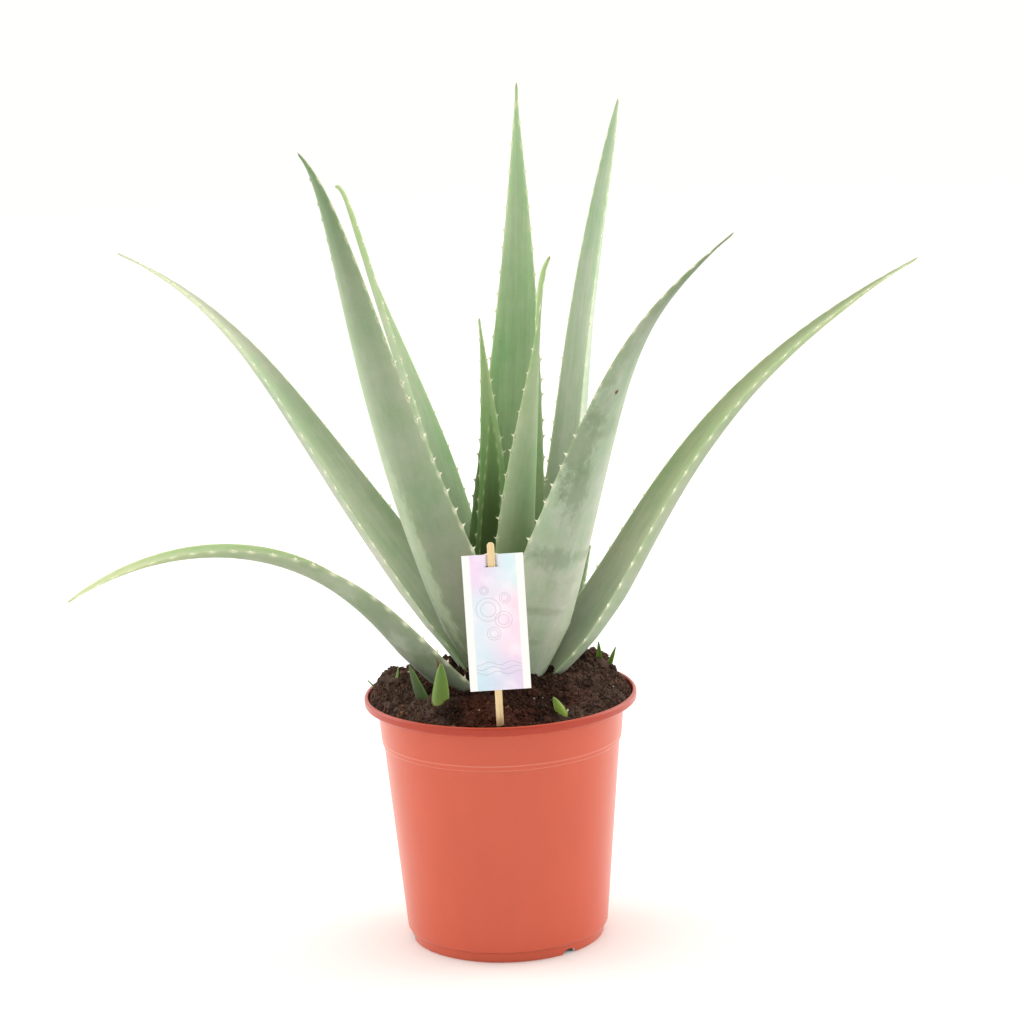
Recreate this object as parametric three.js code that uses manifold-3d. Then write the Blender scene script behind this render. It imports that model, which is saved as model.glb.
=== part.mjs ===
// Potted aloe: a thin-walled nursery pot, its soil, a rosette of toothed leaves on a short stem,
// offset shoots and a plant label on a stick. Millimetres, +Z up, front of the plant towards -Y,
// origin on the pot's axis at the surface that the foot ring stands on.
import * as THREE from 'three';
import Module from 'manifold-3d';

const wasm = await Module();
wasm.setup();

// ---- driving dimensions ------------------------------------------------------------------
const SEG = 48;            // facets round the pot and the soil
const GAP = 0.35;          // clearance between pieces that touch
const POT_HEIGHT = 157;
const RIM_R = 85;          // outside of the lip
const WALL = 1.4;
const FOOT_R = 60.4;       // foot ring, outside
const BODY_R0 = 63.3;      // body at its lower edge
const BODY_R1 = 73.8;      // body just under the collar
const COLLAR_Z = 128;      // lower edge of the collar
const BASE_Z = 4;          // underside of the base plate
const NOTCHES = 3;         // drainage notches in the foot ring
const NOTCH_AZIMUTH = -52; // degrees, first notch
const DRAIN_HOLES = 6;
const DRAIN_R = 4.5;
const DRAIN_PITCH_R = 38;
const SOIL_EDGE_Z = 154.6; // soil level where it meets the lip
const SOIL_RISE = 17.5;    // mound above that level in the middle
const TOOTH = 2.7;         // length of the largest marginal tooth
const STICK_W = 4.4;
const STICK_T = 1.6;
const STICK_LOW = -57;     // along the stick, from where it enters the soil
const STICK_TOP = 118.3;
const LABEL_AT = [-0.7, -74.5, 154]; // where the stick enters the soil
const LABEL_LEAN = 6.5;    // degrees, top towards the front
const LABEL_TILT = 1.1;    // degrees, top towards -X
const CARD_TILT = 0.57;    // the card's own, about its slit
const CARD_W = 36.5;
const CARD_LOW = 25.6;
const CARD_TOP = 111;
const CARD_T = 0.6;
const CARD_SHIFT = 0.75;   // card's middle beside the stick's
const SLIT = 103.4;
const SLIT_HALF = 7;

// Rosette leaves, inner ones first. path: quartic Bezier points from root to tip; w: half width;
// q, k: how the width tapers and swells; clasp: narrowing at the root; tw: twist at root, middle
// and tip; face: azimuth of the back.
const LEAVES = [
  { name: 'leaf_heart',
    path: [[-1, 2, 165], [-6, 2.5, 207], [-5.5, 3.5, 248], [2, 4, 289], [-0.5, 5, 330.5]],
    w: 8.8, q: 0.67, k: 0.66, tw: [20, 19, 6], clasp: 0.8, face: 100, thick: 4.5, n: 11 },
  { name: 'leaf_inner_front',
    path: [[7.5, -4, 164], [5, -9.5, 288.5], [34.5, -15.5, 360.5], [25, -22.5, 412], [38.5, -30, 432.5]],
    w: 19.8, q: 0.73, k: 0.8, tw: [33, 27, 87], clasp: 0.8, face: -60, thick: 8.3, n: 15 },
  { name: 'leaf_inner_back',
    path: [[-4, 7, 164], [-3, 12, 221], [4, 18.5, 274], [-1.5, 25, 328], [-5, 32, 387.5]],
    w: 16.1, q: 0.9, k: 0.6, tw: [-2, 6, 35], clasp: 0.8, face: 120, thick: 6.2, n: 14 },
  { name: 'leaf_back',
    path: [[3, 16, 162], [6, 29, 280], [24, 45, 377.5], [20, 62, 454.5], [23, 80, 528]],
    w: 29.6, q: 1.1, k: 0.36, tw: [1, 0, -1], clasp: 0.8, face: 90, thick: 10, n: 17 },
  { name: 'leaf_back_right',
    path: [[13, 12, 162], [51.5, 23, 279.5], [44, 36.5, 357], [63.5, 51, 415], [85.5, 66, 517]],
    w: 22.6, q: 0.74, k: 0.74, tw: [-2, -21, -8], clasp: 0.8, face: 42, thick: 11.8, n: 17 },
  { name: 'leaf_back_left',
    path: [[-10, 12, 162], [0.5, 24, 280.5], [-77, 39, 387], [-80.5, 55, 475], [-92.5, 72, 467]],
    w: 20.9, q: 0.69, k: 0.72, tw: [29, 27, 64], clasp: 0.8, face: 138, thick: 11.3, n: 16 },
  { name: 'leaf_front_left',
    path: [[-5, -13, 160], [11.5, -28, 186], [-70.5, -46, 283.5], [-74.5, -65.5, 466.5], [-106, -86, 504.5]],
    w: 27.1, q: 0.79, k: 0.7, tw: [11, 1, -9], clasp: 0.5, face: 225, thick: 12.4, n: 17 },
  { name: 'leaf_front_right',
    path: [[7.5, -13, 161], [48, -30.5, 293], [78, -52, 371.5], [73, -75.5, 394], [143, -100, 452]],
    w: 30.9, q: 0.87, k: 0.72, tw: [-16, 11, 31], clasp: 0.54, face: -48, thick: 12.5, n: 17 },
  { name: 'leaf_left',
    path: [[-9, 3, 160], [-22.5, 22.5, 219.5], [-118, 46.5, 278.5], [-115.5, 72.5, 378], [-234.5, 100, 427]],
    w: 25.5, q: 0.83, k: 0.76, tw: [-9, -2, 23], clasp: 0.5, face: 162, thick: 12.1, n: 18 },
  { name: 'leaf_right',
    path: [[14.5, 1, 160], [81, 9, 218], [93.5, 18.5, 287], [150.5, 29, 355.5], [268, 40, 415]],
    w: 25, q: 0.85, k: 0.58, tw: [1, -6, -16], clasp: 0.65, face: 18, thick: 12.1, n: 18 },
  { name: 'leaf_small_back', path: [[36, 26, 158], [41, 33, 180], [50, 39, 200], [55, 43, 219],
    [60, 45, 238]], w: 7, q: 0.8, k: 0.5, tw: [0, 0, 0], face: 40, thick: 4, n: 8 },
  { name: 'leaf_left_low',
    path: [[-4.5, -21, 153], [-66.5, -29, 197.5], [-59, -36, 247], [-158.5, -35, 302], [-262, -34, 231]],
    w: 17.4, q: 0.72, k: 0.36, tw: [-36, -51, -94], clasp: 0.96, face: 255, thick: 12, n: 18 },
];

// Offset shoots and the withered leaf: root below the soil, tip, half width, thickness.
const SHOOTS = [
  { name: 'shoot_front_left', root: [-38, -50, 150], tip: [-35.3, -50, 189.3], w: 6.1, thick: 5,
    face: 250, bow: -1.5 },
  { name: 'shoot_left', root: [-41, -39, 150], tip: [-55.1, -38, 185.6], w: 6.4, thick: 4,
    face: 225, bow: 1 },
  { name: 'shoot_left_back', root: [-66.5, -3, 153], tip: [-62.7, -3, 175.3], w: 2.6, thick: 2.4,
    face: 200, bow: 0 },
  { name: 'shoot_rim_left', root: [-69.5, 5, 151], tip: [-82.5, 5, 165.5], w: 2.4, thick: 2.4,
    face: 180, bow: 0 },
  { name: 'shoot_front_right', root: [42.5, -50, 143], tip: [32, -47, 164.8], w: 4.2, thick: 3.6,
    face: 290, bow: 0 },
  { name: 'shoot_back_right', root: [63.5, 25, 152], tip: [62.9, 24, 180.3], w: 2.6, thick: 2.6,
    face: 65, bow: 0 },
  { name: 'shoot_right', root: [63.5, 24, 150], tip: [73.6, 24, 176.4], w: 2.4, thick: 2.4,
    face: 60, bow: 0 },
  { name: 'withered_leaf', root: [-34, -43, 152], tip: [-37.8, -45, 191.3], w: 2.6, thick: 1.4,
    face: 235, bow: 0 },
];

// ---- helpers -----------------------------------------------------------------------------
function randomStream(seed) {
  let a = seed >>> 0;
  return () => {
    a = (a + 0x6d2b79f5) | 0;
    let t = Math.imul(a ^ (a >>> 15), 1 | a);
    t = (t + Math.imul(t ^ (t >>> 7), 61 | t)) ^ t;
    return ((t ^ (t >>> 14)) >>> 0) / 4294967296;
  };
}

const rad = (deg) => (deg * Math.PI) / 180;
const vec = (a) => new THREE.Vector3(...a);

// A closed body from points and outward faces; turned inside out if its volume is negative.
function solid(points, faces) {
  let volume = 0;
  for (const [a, b, c] of faces) {
    volume += points[a].dot(new THREE.Vector3().crossVectors(points[b], points[c]));
  }
  const flip = volume < 0;
  const tri = new Uint32Array(faces.length * 3);
  faces.forEach(([a, b, c], i) => tri.set(flip ? [a, c, b] : [a, b, c], i * 3));
  const vert = new Float32Array(points.length * 3);
  points.forEach((p, i) => vert.set([p.x, p.y, p.z], i * 3));
  const mesh = new wasm.Mesh({ numProp: 3, vertProperties: vert, triVerts: tri });
  mesh.merge();
  return new wasm.Manifold(mesh);
}

function largestPiece(body) {
  const pieces = body.decompose();
  return pieces.reduce((a, b) => (b.volume() > a.volume() ? b : a));
}

function toGeometry(body) {
  const mesh = body.getMesh();
  const geometry = new THREE.BufferGeometry();
  const xyz = [];
  for (let i = 0; i < mesh.vertProperties.length; i += mesh.numProp) {
    xyz.push(mesh.vertProperties[i], mesh.vertProperties[i + 1], mesh.vertProperties[i + 2]);
  }
  geometry.setAttribute('position', new THREE.Float32BufferAttribute(xyz, 3));
  geometry.setIndex(Array.from(mesh.triVerts));
  geometry.computeVertexNormals();
  return geometry;
}

// Body of revolution about Z from a closed (r, z) outline; r = 0 closes on the axis.
function turned(outline, seg = SEG, turn = 0) {
  const points = [];
  const ring = outline.map(([r, z]) => {
    if (r < 1e-6) {
      points.push(new THREE.Vector3(0, 0, z));
      return Array(seg).fill(points.length - 1);
    }
    const ids = [];
    for (let j = 0; j < seg; j += 1) {
      const a = turn + (2 * Math.PI * j) / seg;
      points.push(new THREE.Vector3(r * Math.cos(a), r * Math.sin(a), z));
      ids.push(points.length - 1);
    }
    return ids;
  });
  const faces = [];
  for (let i = 0; i < ring.length; i += 1) {
    const lower = ring[i];
    const upper = ring[(i + 1) % ring.length];
    for (let j = 0; j < seg; j += 1) {
      const k = (j + 1) % seg;
      if (lower[j] !== lower[k]) faces.push([lower[j], lower[k], upper[k]]);
      if (upper[j] !== upper[k]) faces.push([lower[j], upper[k], upper[j]]);
    }
  }
  return solid(points, faces);
}

function block(x0, x1, y0, y1, z0, z1) {
  const g = new THREE.BoxGeometry(x1 - x0, y1 - y0, z1 - z0);
  g.translate((x0 + x1) / 2, (y0 + y1) / 2, (z0 + z1) / 2);
  const p = g.getAttribute('position');
  const points = [];
  for (let i = 0; i < p.count; i += 1) points.push(new THREE.Vector3().fromBufferAttribute(p, i));
  const index = Array.from(g.getIndex().array);
  const faces = [];
  for (let i = 0; i < index.length; i += 3) faces.push(index.slice(i, i + 3));
  return solid(points, faces);
}

// ---- pot ---------------------------------------------------------------------------------
function buildPot() {
  const inner = (r) => r - WALL;
  const outline = [
    [FOOT_R - 2.2, 0], [FOOT_R, 0], [FOOT_R + 0.4, 6], [BODY_R0 - 0.7, 6.7], [BODY_R0, 7.8],
    [BODY_R1, COLLAR_Z - 1.5], [75.1, COLLAR_Z + 1.2], [77, 150.4],
    [83.6, 151.3], [RIM_R, 152.3], [RIM_R, 156], [84.2, POT_HEIGHT],
    [83, POT_HEIGHT], [82.4, 156.2], [82.2, 153.6], [75.8, 152.2],
    [inner(75.1), COLLAR_Z + 1.8], [inner(BODY_R1), COLLAR_Z - 1],
    [inner(BODY_R0) + 0.1, 8.6], [inner(BODY_R0) - 1.6, BASE_Z + WALL], [0, BASE_Z + WALL],
    [0, BASE_Z], [FOOT_R - 3.4, BASE_Z],
  ];
  let pot = turned(outline);
  for (let i = 0; i < NOTCHES; i += 1) {
    const angle = NOTCH_AZIMUTH + (360 * i) / NOTCHES;
    pot = pot.subtract(block(FOOT_R - 8, FOOT_R + 4, -4.6, 4.6, -1, 3.2).rotate([0, 0, angle]));
  }
  for (let i = 0; i < DRAIN_HOLES; i += 1) {
    const a = rad((360 * i) / DRAIN_HOLES + 30);
    const hole = turned([[DRAIN_R, 0], [DRAIN_R, 12], [0, 12], [0, 0]], 12);
    pot = pot.subtract(hole.translate([DRAIN_PITCH_R * Math.cos(a), DRAIN_PITCH_R * Math.sin(a), 0]));
  }
  return pot;
}

// ---- soil --------------------------------------------------------------------------------
function soilLevel(x, y) {
  const r = Math.hypot(x, y);
  const mound = (cx, cy, size, spread) => (
    size * Math.exp(-((x - cx) ** 2 + (y - cy) ** 2) / (2 * spread * spread)));
  const edge = THREE.MathUtils.smoothstep(84 - r, 0, 11);
  const dome = SOIL_RISE * (1 - Math.min(r / 82, 1) ** 2.8);
  const lean = mound(67, 37, 11.5, 13) + mound(-78, 8, 6.5, 17) + mound(-58, 6, 2, 12)
    + mound(41, -53, -9.5, 17) + mound(-38, -48, 3, 10) + mound(-6, -74, -5.5, 22);
  const crumbs = 0.9 * Math.sin(x * 0.31 + 1.3) * Math.cos(y * 0.27 - 0.4)
    + 0.7 * Math.sin(x * 0.13 - y * 0.41 + 2.1);
  return SOIL_EDGE_Z + dome + edge * (lean + crumbs);
}

function buildSoil() {
  const inner = (r) => r - WALL - GAP;
  const sides = [
    [0, BASE_Z + WALL + GAP], [inner(BODY_R0) - 1.8, BASE_Z + WALL + GAP],
    [inner(BODY_R0) - 0.1, 8.9], [inner(BODY_R1), COLLAR_Z - 1.2],
    [inner(75.1), COLLAR_Z + 2.1], [75.3, 152.7], [81.8, 154],
  ];
  const rings = [82 - GAP, 76.5, 69.5, 61, 51, 40, 28, 14, 0];
  const points = [];
  const rows = [];
  for (const [r, z] of sides) {
    rows.push([]);
    for (let j = 0; j < SEG; j += 1) {
      const a = (2 * Math.PI * j) / SEG;
      if (r > 0 || j === 0) points.push(new THREE.Vector3(r * Math.cos(a), r * Math.sin(a), z));
      rows[rows.length - 1].push(points.length - 1);
    }
  }
  const dice = randomStream(41);
  for (const r of rings) {
    rows.push([]);
    for (let j = 0; j < SEG; j += 1) {
      if (r > 0 || j === 0) {
        const loose = r > 70 || r === 0 ? 0 : 1;
        const a = (2 * Math.PI * (j + loose * 0.5 * (dice() - 0.5))) / SEG;
        const s = r + loose * 3 * (dice() - 0.5);
        const x = s * Math.cos(a);
        const y = s * Math.sin(a);
        points.push(new THREE.Vector3(x, y, soilLevel(x, y) + loose * 1.3 * (dice() - 0.5)));
      }
      rows[rows.length - 1].push(points.length - 1);
    }
  }
  const faces = [];
  for (let i = 0; i + 1 < rows.length; i += 1) {
    for (let j = 0; j < SEG; j += 1) {
      const k = (j + 1) % SEG;
      const [a, b, c, d] = [rows[i][j], rows[i][k], rows[i + 1][k], rows[i + 1][j]];
      if (a !== b) faces.push([a, b, c]);
      if (c !== d) faces.push([a, c, d]);
    }
  }
  return solid(points, faces);
}

// ---- stem --------------------------------------------------------------------------------
function buildStem(grow = 0) {
  const outline = [[0, 98 - grow], [8 + grow, 98 - grow], [13 + grow, 112], [20 + grow, 134],
    [25 + grow, 149], [25 + grow, 153.5], [21 + grow, 156 + grow], [0, 158 + grow]];
  return turned(outline, 16);
}

// ---- leaves ------------------------------------------------------------------------------
function quartic(path, t) {
  const b = 1 - t;
  const weight = [b ** 4, 4 * b ** 3 * t, 6 * b * b * t * t, 4 * b * t ** 3, t ** 4];
  const p = new THREE.Vector3();
  path.forEach((c, i) => p.addScaledVector(vec(c), weight[i]));
  return p;
}

function tangent(path, t) {
  const e = 1e-3;
  return quartic(path, Math.min(t + e, 1)).sub(quartic(path, Math.max(t - e, 0))).normalize();
}

// n + 1 curve parameters evenly spaced along the length
function stations(path, n) {
  const steps = 200;
  const along = [0];
  let last = quartic(path, 0);
  for (let i = 1; i <= steps; i += 1) {
    const p = quartic(path, i / steps);
    along.push(along[i - 1] + p.distanceTo(last));
    last = p;
  }
  const out = [];
  let j = 0;
  for (let i = 0; i <= n; i += 1) {
    const want = (along[steps] * i) / n;
    while (j < steps - 1 && along[j + 1] < want) j += 1;
    const f = (want - along[j]) / (along[j + 1] - along[j]);
    out.push((j + Math.min(f, 1)) / steps);
  }
  return { params: out, length: along[steps] };
}

// Section of a blade: margin, underside, other margin, channelled inner face.
function section(w, thick, channel, grow, under, upper) {
  const low = (u) => -(channel + thick) * (1 - Math.abs(u) ** 2.3) ** 0.85 - grow;
  const high = (u) => -channel * (1 - u * u) + grow;
  const wide = w + grow;
  const margin = w + 2 * grow;
  return [[-margin, 0.6 * grow], ...under.map((u) => [u * wide, low(u)]), [margin, 0.6 * grow],
    ...upper.map((u) => [u * wide, high(u)])];
}

// Rings of points along a blade, its marginal teeth, tip and root. A tooth is two points on the
// margin with the peak between them, and a foot on the face to either side.
function frameOf(spec, grow) {
  const { path, w, q, k, tw, clasp = 0.8, face, thick, n, teeth = true } = spec;
  const under = spec.slim ? [-0.6, 0, 0.6] : [-0.8, -0.4, 0, 0.4, 0.8];
  const upper = spec.slim ? [0] : [0.55, 0, -0.55];
  const far = under.length + 1;
  const { params, length } = stations(path, n);
  const dice = randomStream(Math.round(7 + 13 * w + 31 * length));
  const back = new THREE.Vector3(Math.cos(rad(face)), Math.sin(rad(face)), 0);
  const rings = [];
  const across = [];
  for (let i = 0; i < n; i += 1) {
    const s = i / n;
    const t = tangent(path, params[i]);
    const normal = back.clone().multiplyScalar(-0.9).add(new THREE.Vector3(0, 0, 0.45));
    normal.addScaledVector(t, -normal.dot(t)).normalize();
    const turn = tw[0] * (1 - s) * (1 - 2 * s) + tw[1] * 4 * s * (1 - s) + tw[2] * s * (2 * s - 1);
    normal.applyAxisAngle(t, rad(turn));
    const side = new THREE.Vector3().crossVectors(t, normal);
    const base = clasp + (1 - clasp) * Math.min(s / 0.14, 1);
    const half = Math.max(w * (1 - s) ** q * (1 + k * s) * base, 0.8);
    const deep = Math.max(thick * (1 - s) ** 0.75 * (1 - 0.1 * s), 1.1);
    const sheath = 0.55 + 0.45 * Math.min(s / 0.22, 1);
    const centre = quartic(path, params[i]).addScaledVector(t, i ? 0 : -grow);
    const ring = section(half, Math.min(deep, half * 1.3) * sheath,
      0.28 * half * (1 - s) ** 0.6 * sheath, grow, under, upper);
    rings.push(ring.map(([u, v]) => (
      centre.clone().addScaledVector(side, u).addScaledVector(normal, v))));
    across.push(side);
  }
  const margins = rings.slice(1).map((next, i) => {
    const s = (i + 0.5) / n;
    const tooth = {};
    for (const [margin, out] of [[0, -1], [far, 1]]) {
      const size = TOOTH * (1 - 0.55 * s) * (0.85 + 0.3 * dice());
      const where = 0.5 + 0.3 * (dice() - 0.5);
      const reach = (size * 0.62 * n) / length;
      const on = (f, column = margin) => rings[i][column].clone().lerp(next[column], f);
      const foot = (step) => {
        const inside = on(where, (margin + step + next.length) % next.length);
        return on(where).lerp(inside, Math.min((0.4 * size) / on(where).distanceTo(inside), 0.45));
      };
      const peak = on(where + 0.3 * reach).addScaledVector(across[i], out * size);
      if (teeth && i >= spec.bare) {
        tooth[margin] = [on(where - reach), peak, on(where + reach), foot(-1), foot(1)];
      }
    }
    return tooth;
  });
  const middle = [under.length >> 1, far + (upper.length >> 1)];
  const root = rings[0][middle[0] + 1].clone().lerp(rings[0][middle[1] + 1], 0.5)
    .addScaledVector(tangent(path, 0), -grow);
  const tip = quartic(path, 1).addScaledVector(tangent(path, 1), 3 * grow);
  return { rings, margins, root, tip };
}

function blade(spec) {
  const { rings, margins, root, tip } = frameOf(spec, 0);
  const count = rings[0].length;
  const points = rings.flat();
  const faces = [];
  const at = (i, j) => i * count + (j % count);
  margins.forEach((teeth, i) => {
    const tooth = {};
    for (const margin of Object.keys(teeth)) {
      tooth[margin] = teeth[margin].map((p) => points.push(p) - 1);
    }
    for (let j = 0; j < count; j += 1) {
      const [a, b, c, d] = [at(i, j), at(i, j + 1), at(i + 1, j + 1), at(i + 1, j)];
      const near = tooth[(j + 1) % count];
      const own = tooth[j];
      if (near) {
        const [e, f, g, foot] = near;
        faces.push([a, b, e], [a, e, foot], [a, foot, d], [d, foot, g], [d, g, c]);
        faces.push([foot, e, f], [g, foot, f]);
      } else if (own) {
        const [e, f, g, , foot] = own;
        faces.push([a, b, e], [e, b, foot], [foot, b, c], [foot, c, g], [g, c, d]);
        faces.push([e, foot, f], [foot, g, f]);
      } else {
        faces.push([a, b, c], [a, c, d]);
      }
    }
  });
  const apex = points.push(tip) - 1;
  const foot = points.push(root) - 1;
  for (let j = 0; j < count; j += 1) {
    faces.push([at(rings.length - 1, j), at(rings.length - 1, j + 1), apex]);
    faces.push([at(0, j + 1), at(0, j), foot]);
  }
  return solid(points, faces);
}

// Space that a blade takes with GAP all round: convex lengths between its rings.
function clearance(spec) {
  const { rings, margins, root, tip } = frameOf(spec, GAP);
  const hull = (points) => wasm.Manifold.hull(points.map((p) => p.toArray()));
  const steps = [[1, 0, 0], [-1, 0, 0], [0, 1, 0], [0, -1, 0], [0, 0, 1], [0, 0, -1]];
  const lengths = margins.map((teeth, i) => {
    const peaks = Object.values(teeth).flatMap(([, peak]) => (
      steps.map((step) => peak.clone().addScaledVector(vec(step), GAP))));
    return hull([...rings[i], ...rings[i + 1], ...peaks]);
  });
  lengths.push(hull([...rings[0], root]), hull([...rings[rings.length - 1], tip]));
  return wasm.Manifold.union(lengths);
}

function shootSpec({ name, root, tip, w, thick, face, bow }) {
  const back = new THREE.Vector3(Math.cos(rad(face)), Math.sin(rad(face)), 0);
  const on = (f) => vec(root).lerp(vec(tip), f)
    .addScaledVector(back, bow * Math.sin(Math.PI * f)).toArray();
  return { name, path: [root, on(0.25), on(0.5), on(0.75), tip], w, q: 0.7, k: 0.9, tw: [0, 0, 0],
    face, thick, n: 6, teeth: false, slim: true };
}

// ---- label -------------------------------------------------------------------------------
// Both are drawn standing, with z along the stick from the soil, and then leaned into place.
function lean(body) {
  return body.rotate([LABEL_LEAN, 0, 0]).rotate([0, -LABEL_TILT, 0]).translate(LABEL_AT);
}

function buildStick(grow = 0) {
  const half = STICK_W / 2 + grow;
  const neck = STICK_TOP - STICK_W / 2;
  const shape = new THREE.Shape();
  shape.moveTo(-half, STICK_LOW + 8);
  shape.lineTo(-1.2 - grow, STICK_LOW - grow);
  shape.lineTo(1.2 + grow, STICK_LOW - grow);
  shape.lineTo(half, STICK_LOW + 8);
  shape.lineTo(half, neck);
  shape.absarc(0, neck, half, 0, Math.PI, false);
  shape.closePath();
  const depth = STICK_T + 2 * grow;
  const g = new THREE.ExtrudeGeometry(shape, { depth, bevelEnabled: false, curveSegments: 8 });
  g.rotateX(Math.PI / 2);
  g.translate(0, depth / 2, 0);
  const p = g.getAttribute('position');
  const points = [];
  const faces = [];
  for (let i = 0; i < p.count; i += 1) points.push(new THREE.Vector3().fromBufferAttribute(p, i));
  for (let i = 0; i < p.count; i += 3) faces.push([i, i + 1, i + 2]);
  return lean(solid(points, faces));
}

// The card hangs in front of the stick and bends back behind its top above the slit.
function cardY(x, z) {
  const fold = Math.abs(x) < SLIT_HALF ? Math.cos((x / SLIT_HALF) * (Math.PI / 2)) : 0;
  const bulge = Math.min(fold * 1.35, 1);
  const plane = -0.6 - 0.02 * Math.max(SLIT - z, 0);
  if (z > SLIT) return plane + 2.05 * bulge;
  return plane - 0.9 * bulge * Math.max(0, 1 - (SLIT - z) / 40);
}

function slab(xs, zs) {
  const points = [];
  for (const side of [-0.5, 0.5]) {
    for (const z of zs) {
      for (const x of xs) {
        points.push(new THREE.Vector3(x + CARD_SHIFT, cardY(x + CARD_SHIFT, z) + side * CARD_T, z));
      }
    }
  }
  const nx = xs.length;
  const nz = zs.length;
  const id = (s, i, j) => s * nx * nz + i * nx + j;
  const faces = [];
  for (let i = 0; i + 1 < nz; i += 1) {
    for (let j = 0; j + 1 < nx; j += 1) {
      for (const s of [0, 1]) {
        const [a, b, c, d] = [id(s, i, j), id(s, i, j + 1), id(s, i + 1, j + 1), id(s, i + 1, j)];
        faces.push(...(s ? [[a, c, b], [a, d, c]] : [[a, b, c], [a, c, d]]));
      }
    }
  }
  const rim = [];
  for (let j = 0; j < nx; j += 1) rim.push([0, j]);
  for (let i = 1; i < nz; i += 1) rim.push([i, nx - 1]);
  for (let j = nx - 2; j >= 0; j -= 1) rim.push([nz - 1, j]);
  for (let i = nz - 2; i > 0; i -= 1) rim.push([i, 0]);
  rim.forEach(([i, j], m) => {
    const [k, l] = rim[(m + 1) % rim.length];
    faces.push([id(0, i, j), id(1, i, j), id(1, k, l)], [id(0, i, j), id(1, k, l), id(0, k, l)]);
  });
  return solid(points, faces);
}

function buildCard() {
  const left = -CARD_W / 2;
  const right = CARD_W / 2;
  const [from, to] = [-SLIT_HALF - CARD_SHIFT, SLIT_HALF - CARD_SHIFT];
  const middle = [-5.2, -3.4, -1.7, 0, 1.7, 3.4, 5.2].map((x) => x - CARD_SHIFT);
  const xs = [left, from, ...middle, to, right];
  const below = slab(xs, [CARD_LOW, SLIT - 40, SLIT - 20, SLIT - 8, SLIT - 0.01]);
  const above = slab(xs, [SLIT + 0.01, CARD_TOP]);
  const joints = [[left, from], [to, right]].map((ends) => slab(ends, [SLIT - 2, SLIT, SLIT + 2]));
  const card = joints.reduce((whole, joint) => whole.add(joint), below.add(above));
  return lean(card.translate([0, 0, -SLIT]).rotate([0, -CARD_TILT, 0]).translate([0, 0, SLIT]));
}

// ---- assembly ----------------------------------------------------------------------------
const PLASTIC = { color: 0xcf5f43, roughness: 0.45, metalness: 0 };
const EARTH = { color: 0x2e1c14, roughness: 0.95, metalness: 0 };
const FLESH = { color: 0x8fae82, roughness: 0.55, metalness: 0 };
const SHOOT = { color: 0x5f9a3a, roughness: 0.45, metalness: 0 };
const DRY = { color: 0x7a4a2c, roughness: 0.85, metalness: 0 };
const WOOD = { color: 0xe3c496, roughness: 0.7, metalness: 0 };
const PAPER = { color: 0xf1ecf6, roughness: 0.6, metalness: 0 };

const plant = new THREE.Group();
plant.name = 'potted_aloe';

function place(name, body, look) {
  const mesh = new THREE.Mesh(toGeometry(body), new THREE.MeshStandardMaterial(look));
  mesh.name = name;
  plant.add(mesh);
}

const reach = (a, b) => {
  const p = a.boundingBox();
  const q = b.boundingBox();
  return [0, 1, 2].every((i) => p.min[i] <= q.max[i] && q.min[i] <= p.max[i]);
};

const cutters = [buildStem(GAP)];

// Each leaf is cut clear of the stem and of the leaves already placed inside it.
function seat(spec) {
  let body = blade(spec);
  for (const cutter of cutters) {
    if (reach(body, cutter)) body = body.subtract(cutter);
  }
  cutters.push(clearance(spec));
  return largestPiece(body);
}

place('nursery_pot', buildPot(), PLASTIC);
place('stem', buildStem(), SHOOT);
for (const spec of LEAVES) place(spec.name, seat({ bare: 2, ...spec }), FLESH);
for (const shoot of SHOOTS) {
  place(shoot.name, seat(shootSpec(shoot)), shoot.name === 'withered_leaf' ? DRY : SHOOT);
}
place('label_stick', buildStick(), WOOD);
place('label_card', buildCard(), PAPER);

// Plain holes in the soil for all that stands in it, and one between the leaf bases.
let soil = buildSoil();
for (const cutter of [...cutters, buildStick(GAP),
  turned([[20, 150], [20, 180], [0, 180], [0, 150]], 16)]) {
  soil = soil.subtract(cutter);
}
place('soil', largestPiece(soil), EARTH);

export default plant;
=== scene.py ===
"""Looks of a potted aloe: fine leaves, soil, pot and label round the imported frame.

Plant, pot, soil and label hold their sizes in millimetres. Meshes, noises, lights and the camera
are in metres. +Z is up, the front of the plant is towards -Y, and the origin is on the pot's axis
on the floor.
"""
import logging
import math
from dataclasses import dataclass, field
from enum import Enum
from functools import reduce
from typing import Callable, ClassVar, Iterable, Mapping, Sequence

import bmesh
import bpy
from mathutils import Matrix, Vector, noise


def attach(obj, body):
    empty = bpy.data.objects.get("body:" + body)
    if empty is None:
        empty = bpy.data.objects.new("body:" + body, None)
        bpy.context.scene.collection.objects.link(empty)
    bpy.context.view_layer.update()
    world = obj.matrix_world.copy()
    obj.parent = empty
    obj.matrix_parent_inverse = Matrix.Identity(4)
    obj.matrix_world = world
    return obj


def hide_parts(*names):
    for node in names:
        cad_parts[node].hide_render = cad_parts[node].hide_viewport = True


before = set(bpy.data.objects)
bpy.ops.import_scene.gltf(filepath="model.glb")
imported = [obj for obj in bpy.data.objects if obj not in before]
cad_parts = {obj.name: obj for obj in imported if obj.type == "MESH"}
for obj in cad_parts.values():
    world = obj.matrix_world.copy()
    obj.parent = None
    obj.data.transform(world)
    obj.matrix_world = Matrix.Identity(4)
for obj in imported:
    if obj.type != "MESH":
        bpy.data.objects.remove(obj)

LOG = logging.getLogger("potted_aloe")
MM = 0.001
WELD = 0.01 * MM
BODY = "root"

Point = tuple[float, float, float]
Outline = list[tuple[float, float]]


# ---- node trees as formulas ----


class TreeKind(Enum):
    """What a node tree is for."""

    SHADER = "ShaderNodeTree"
    GEOMETRY = "GeometryNodeTree"


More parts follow.
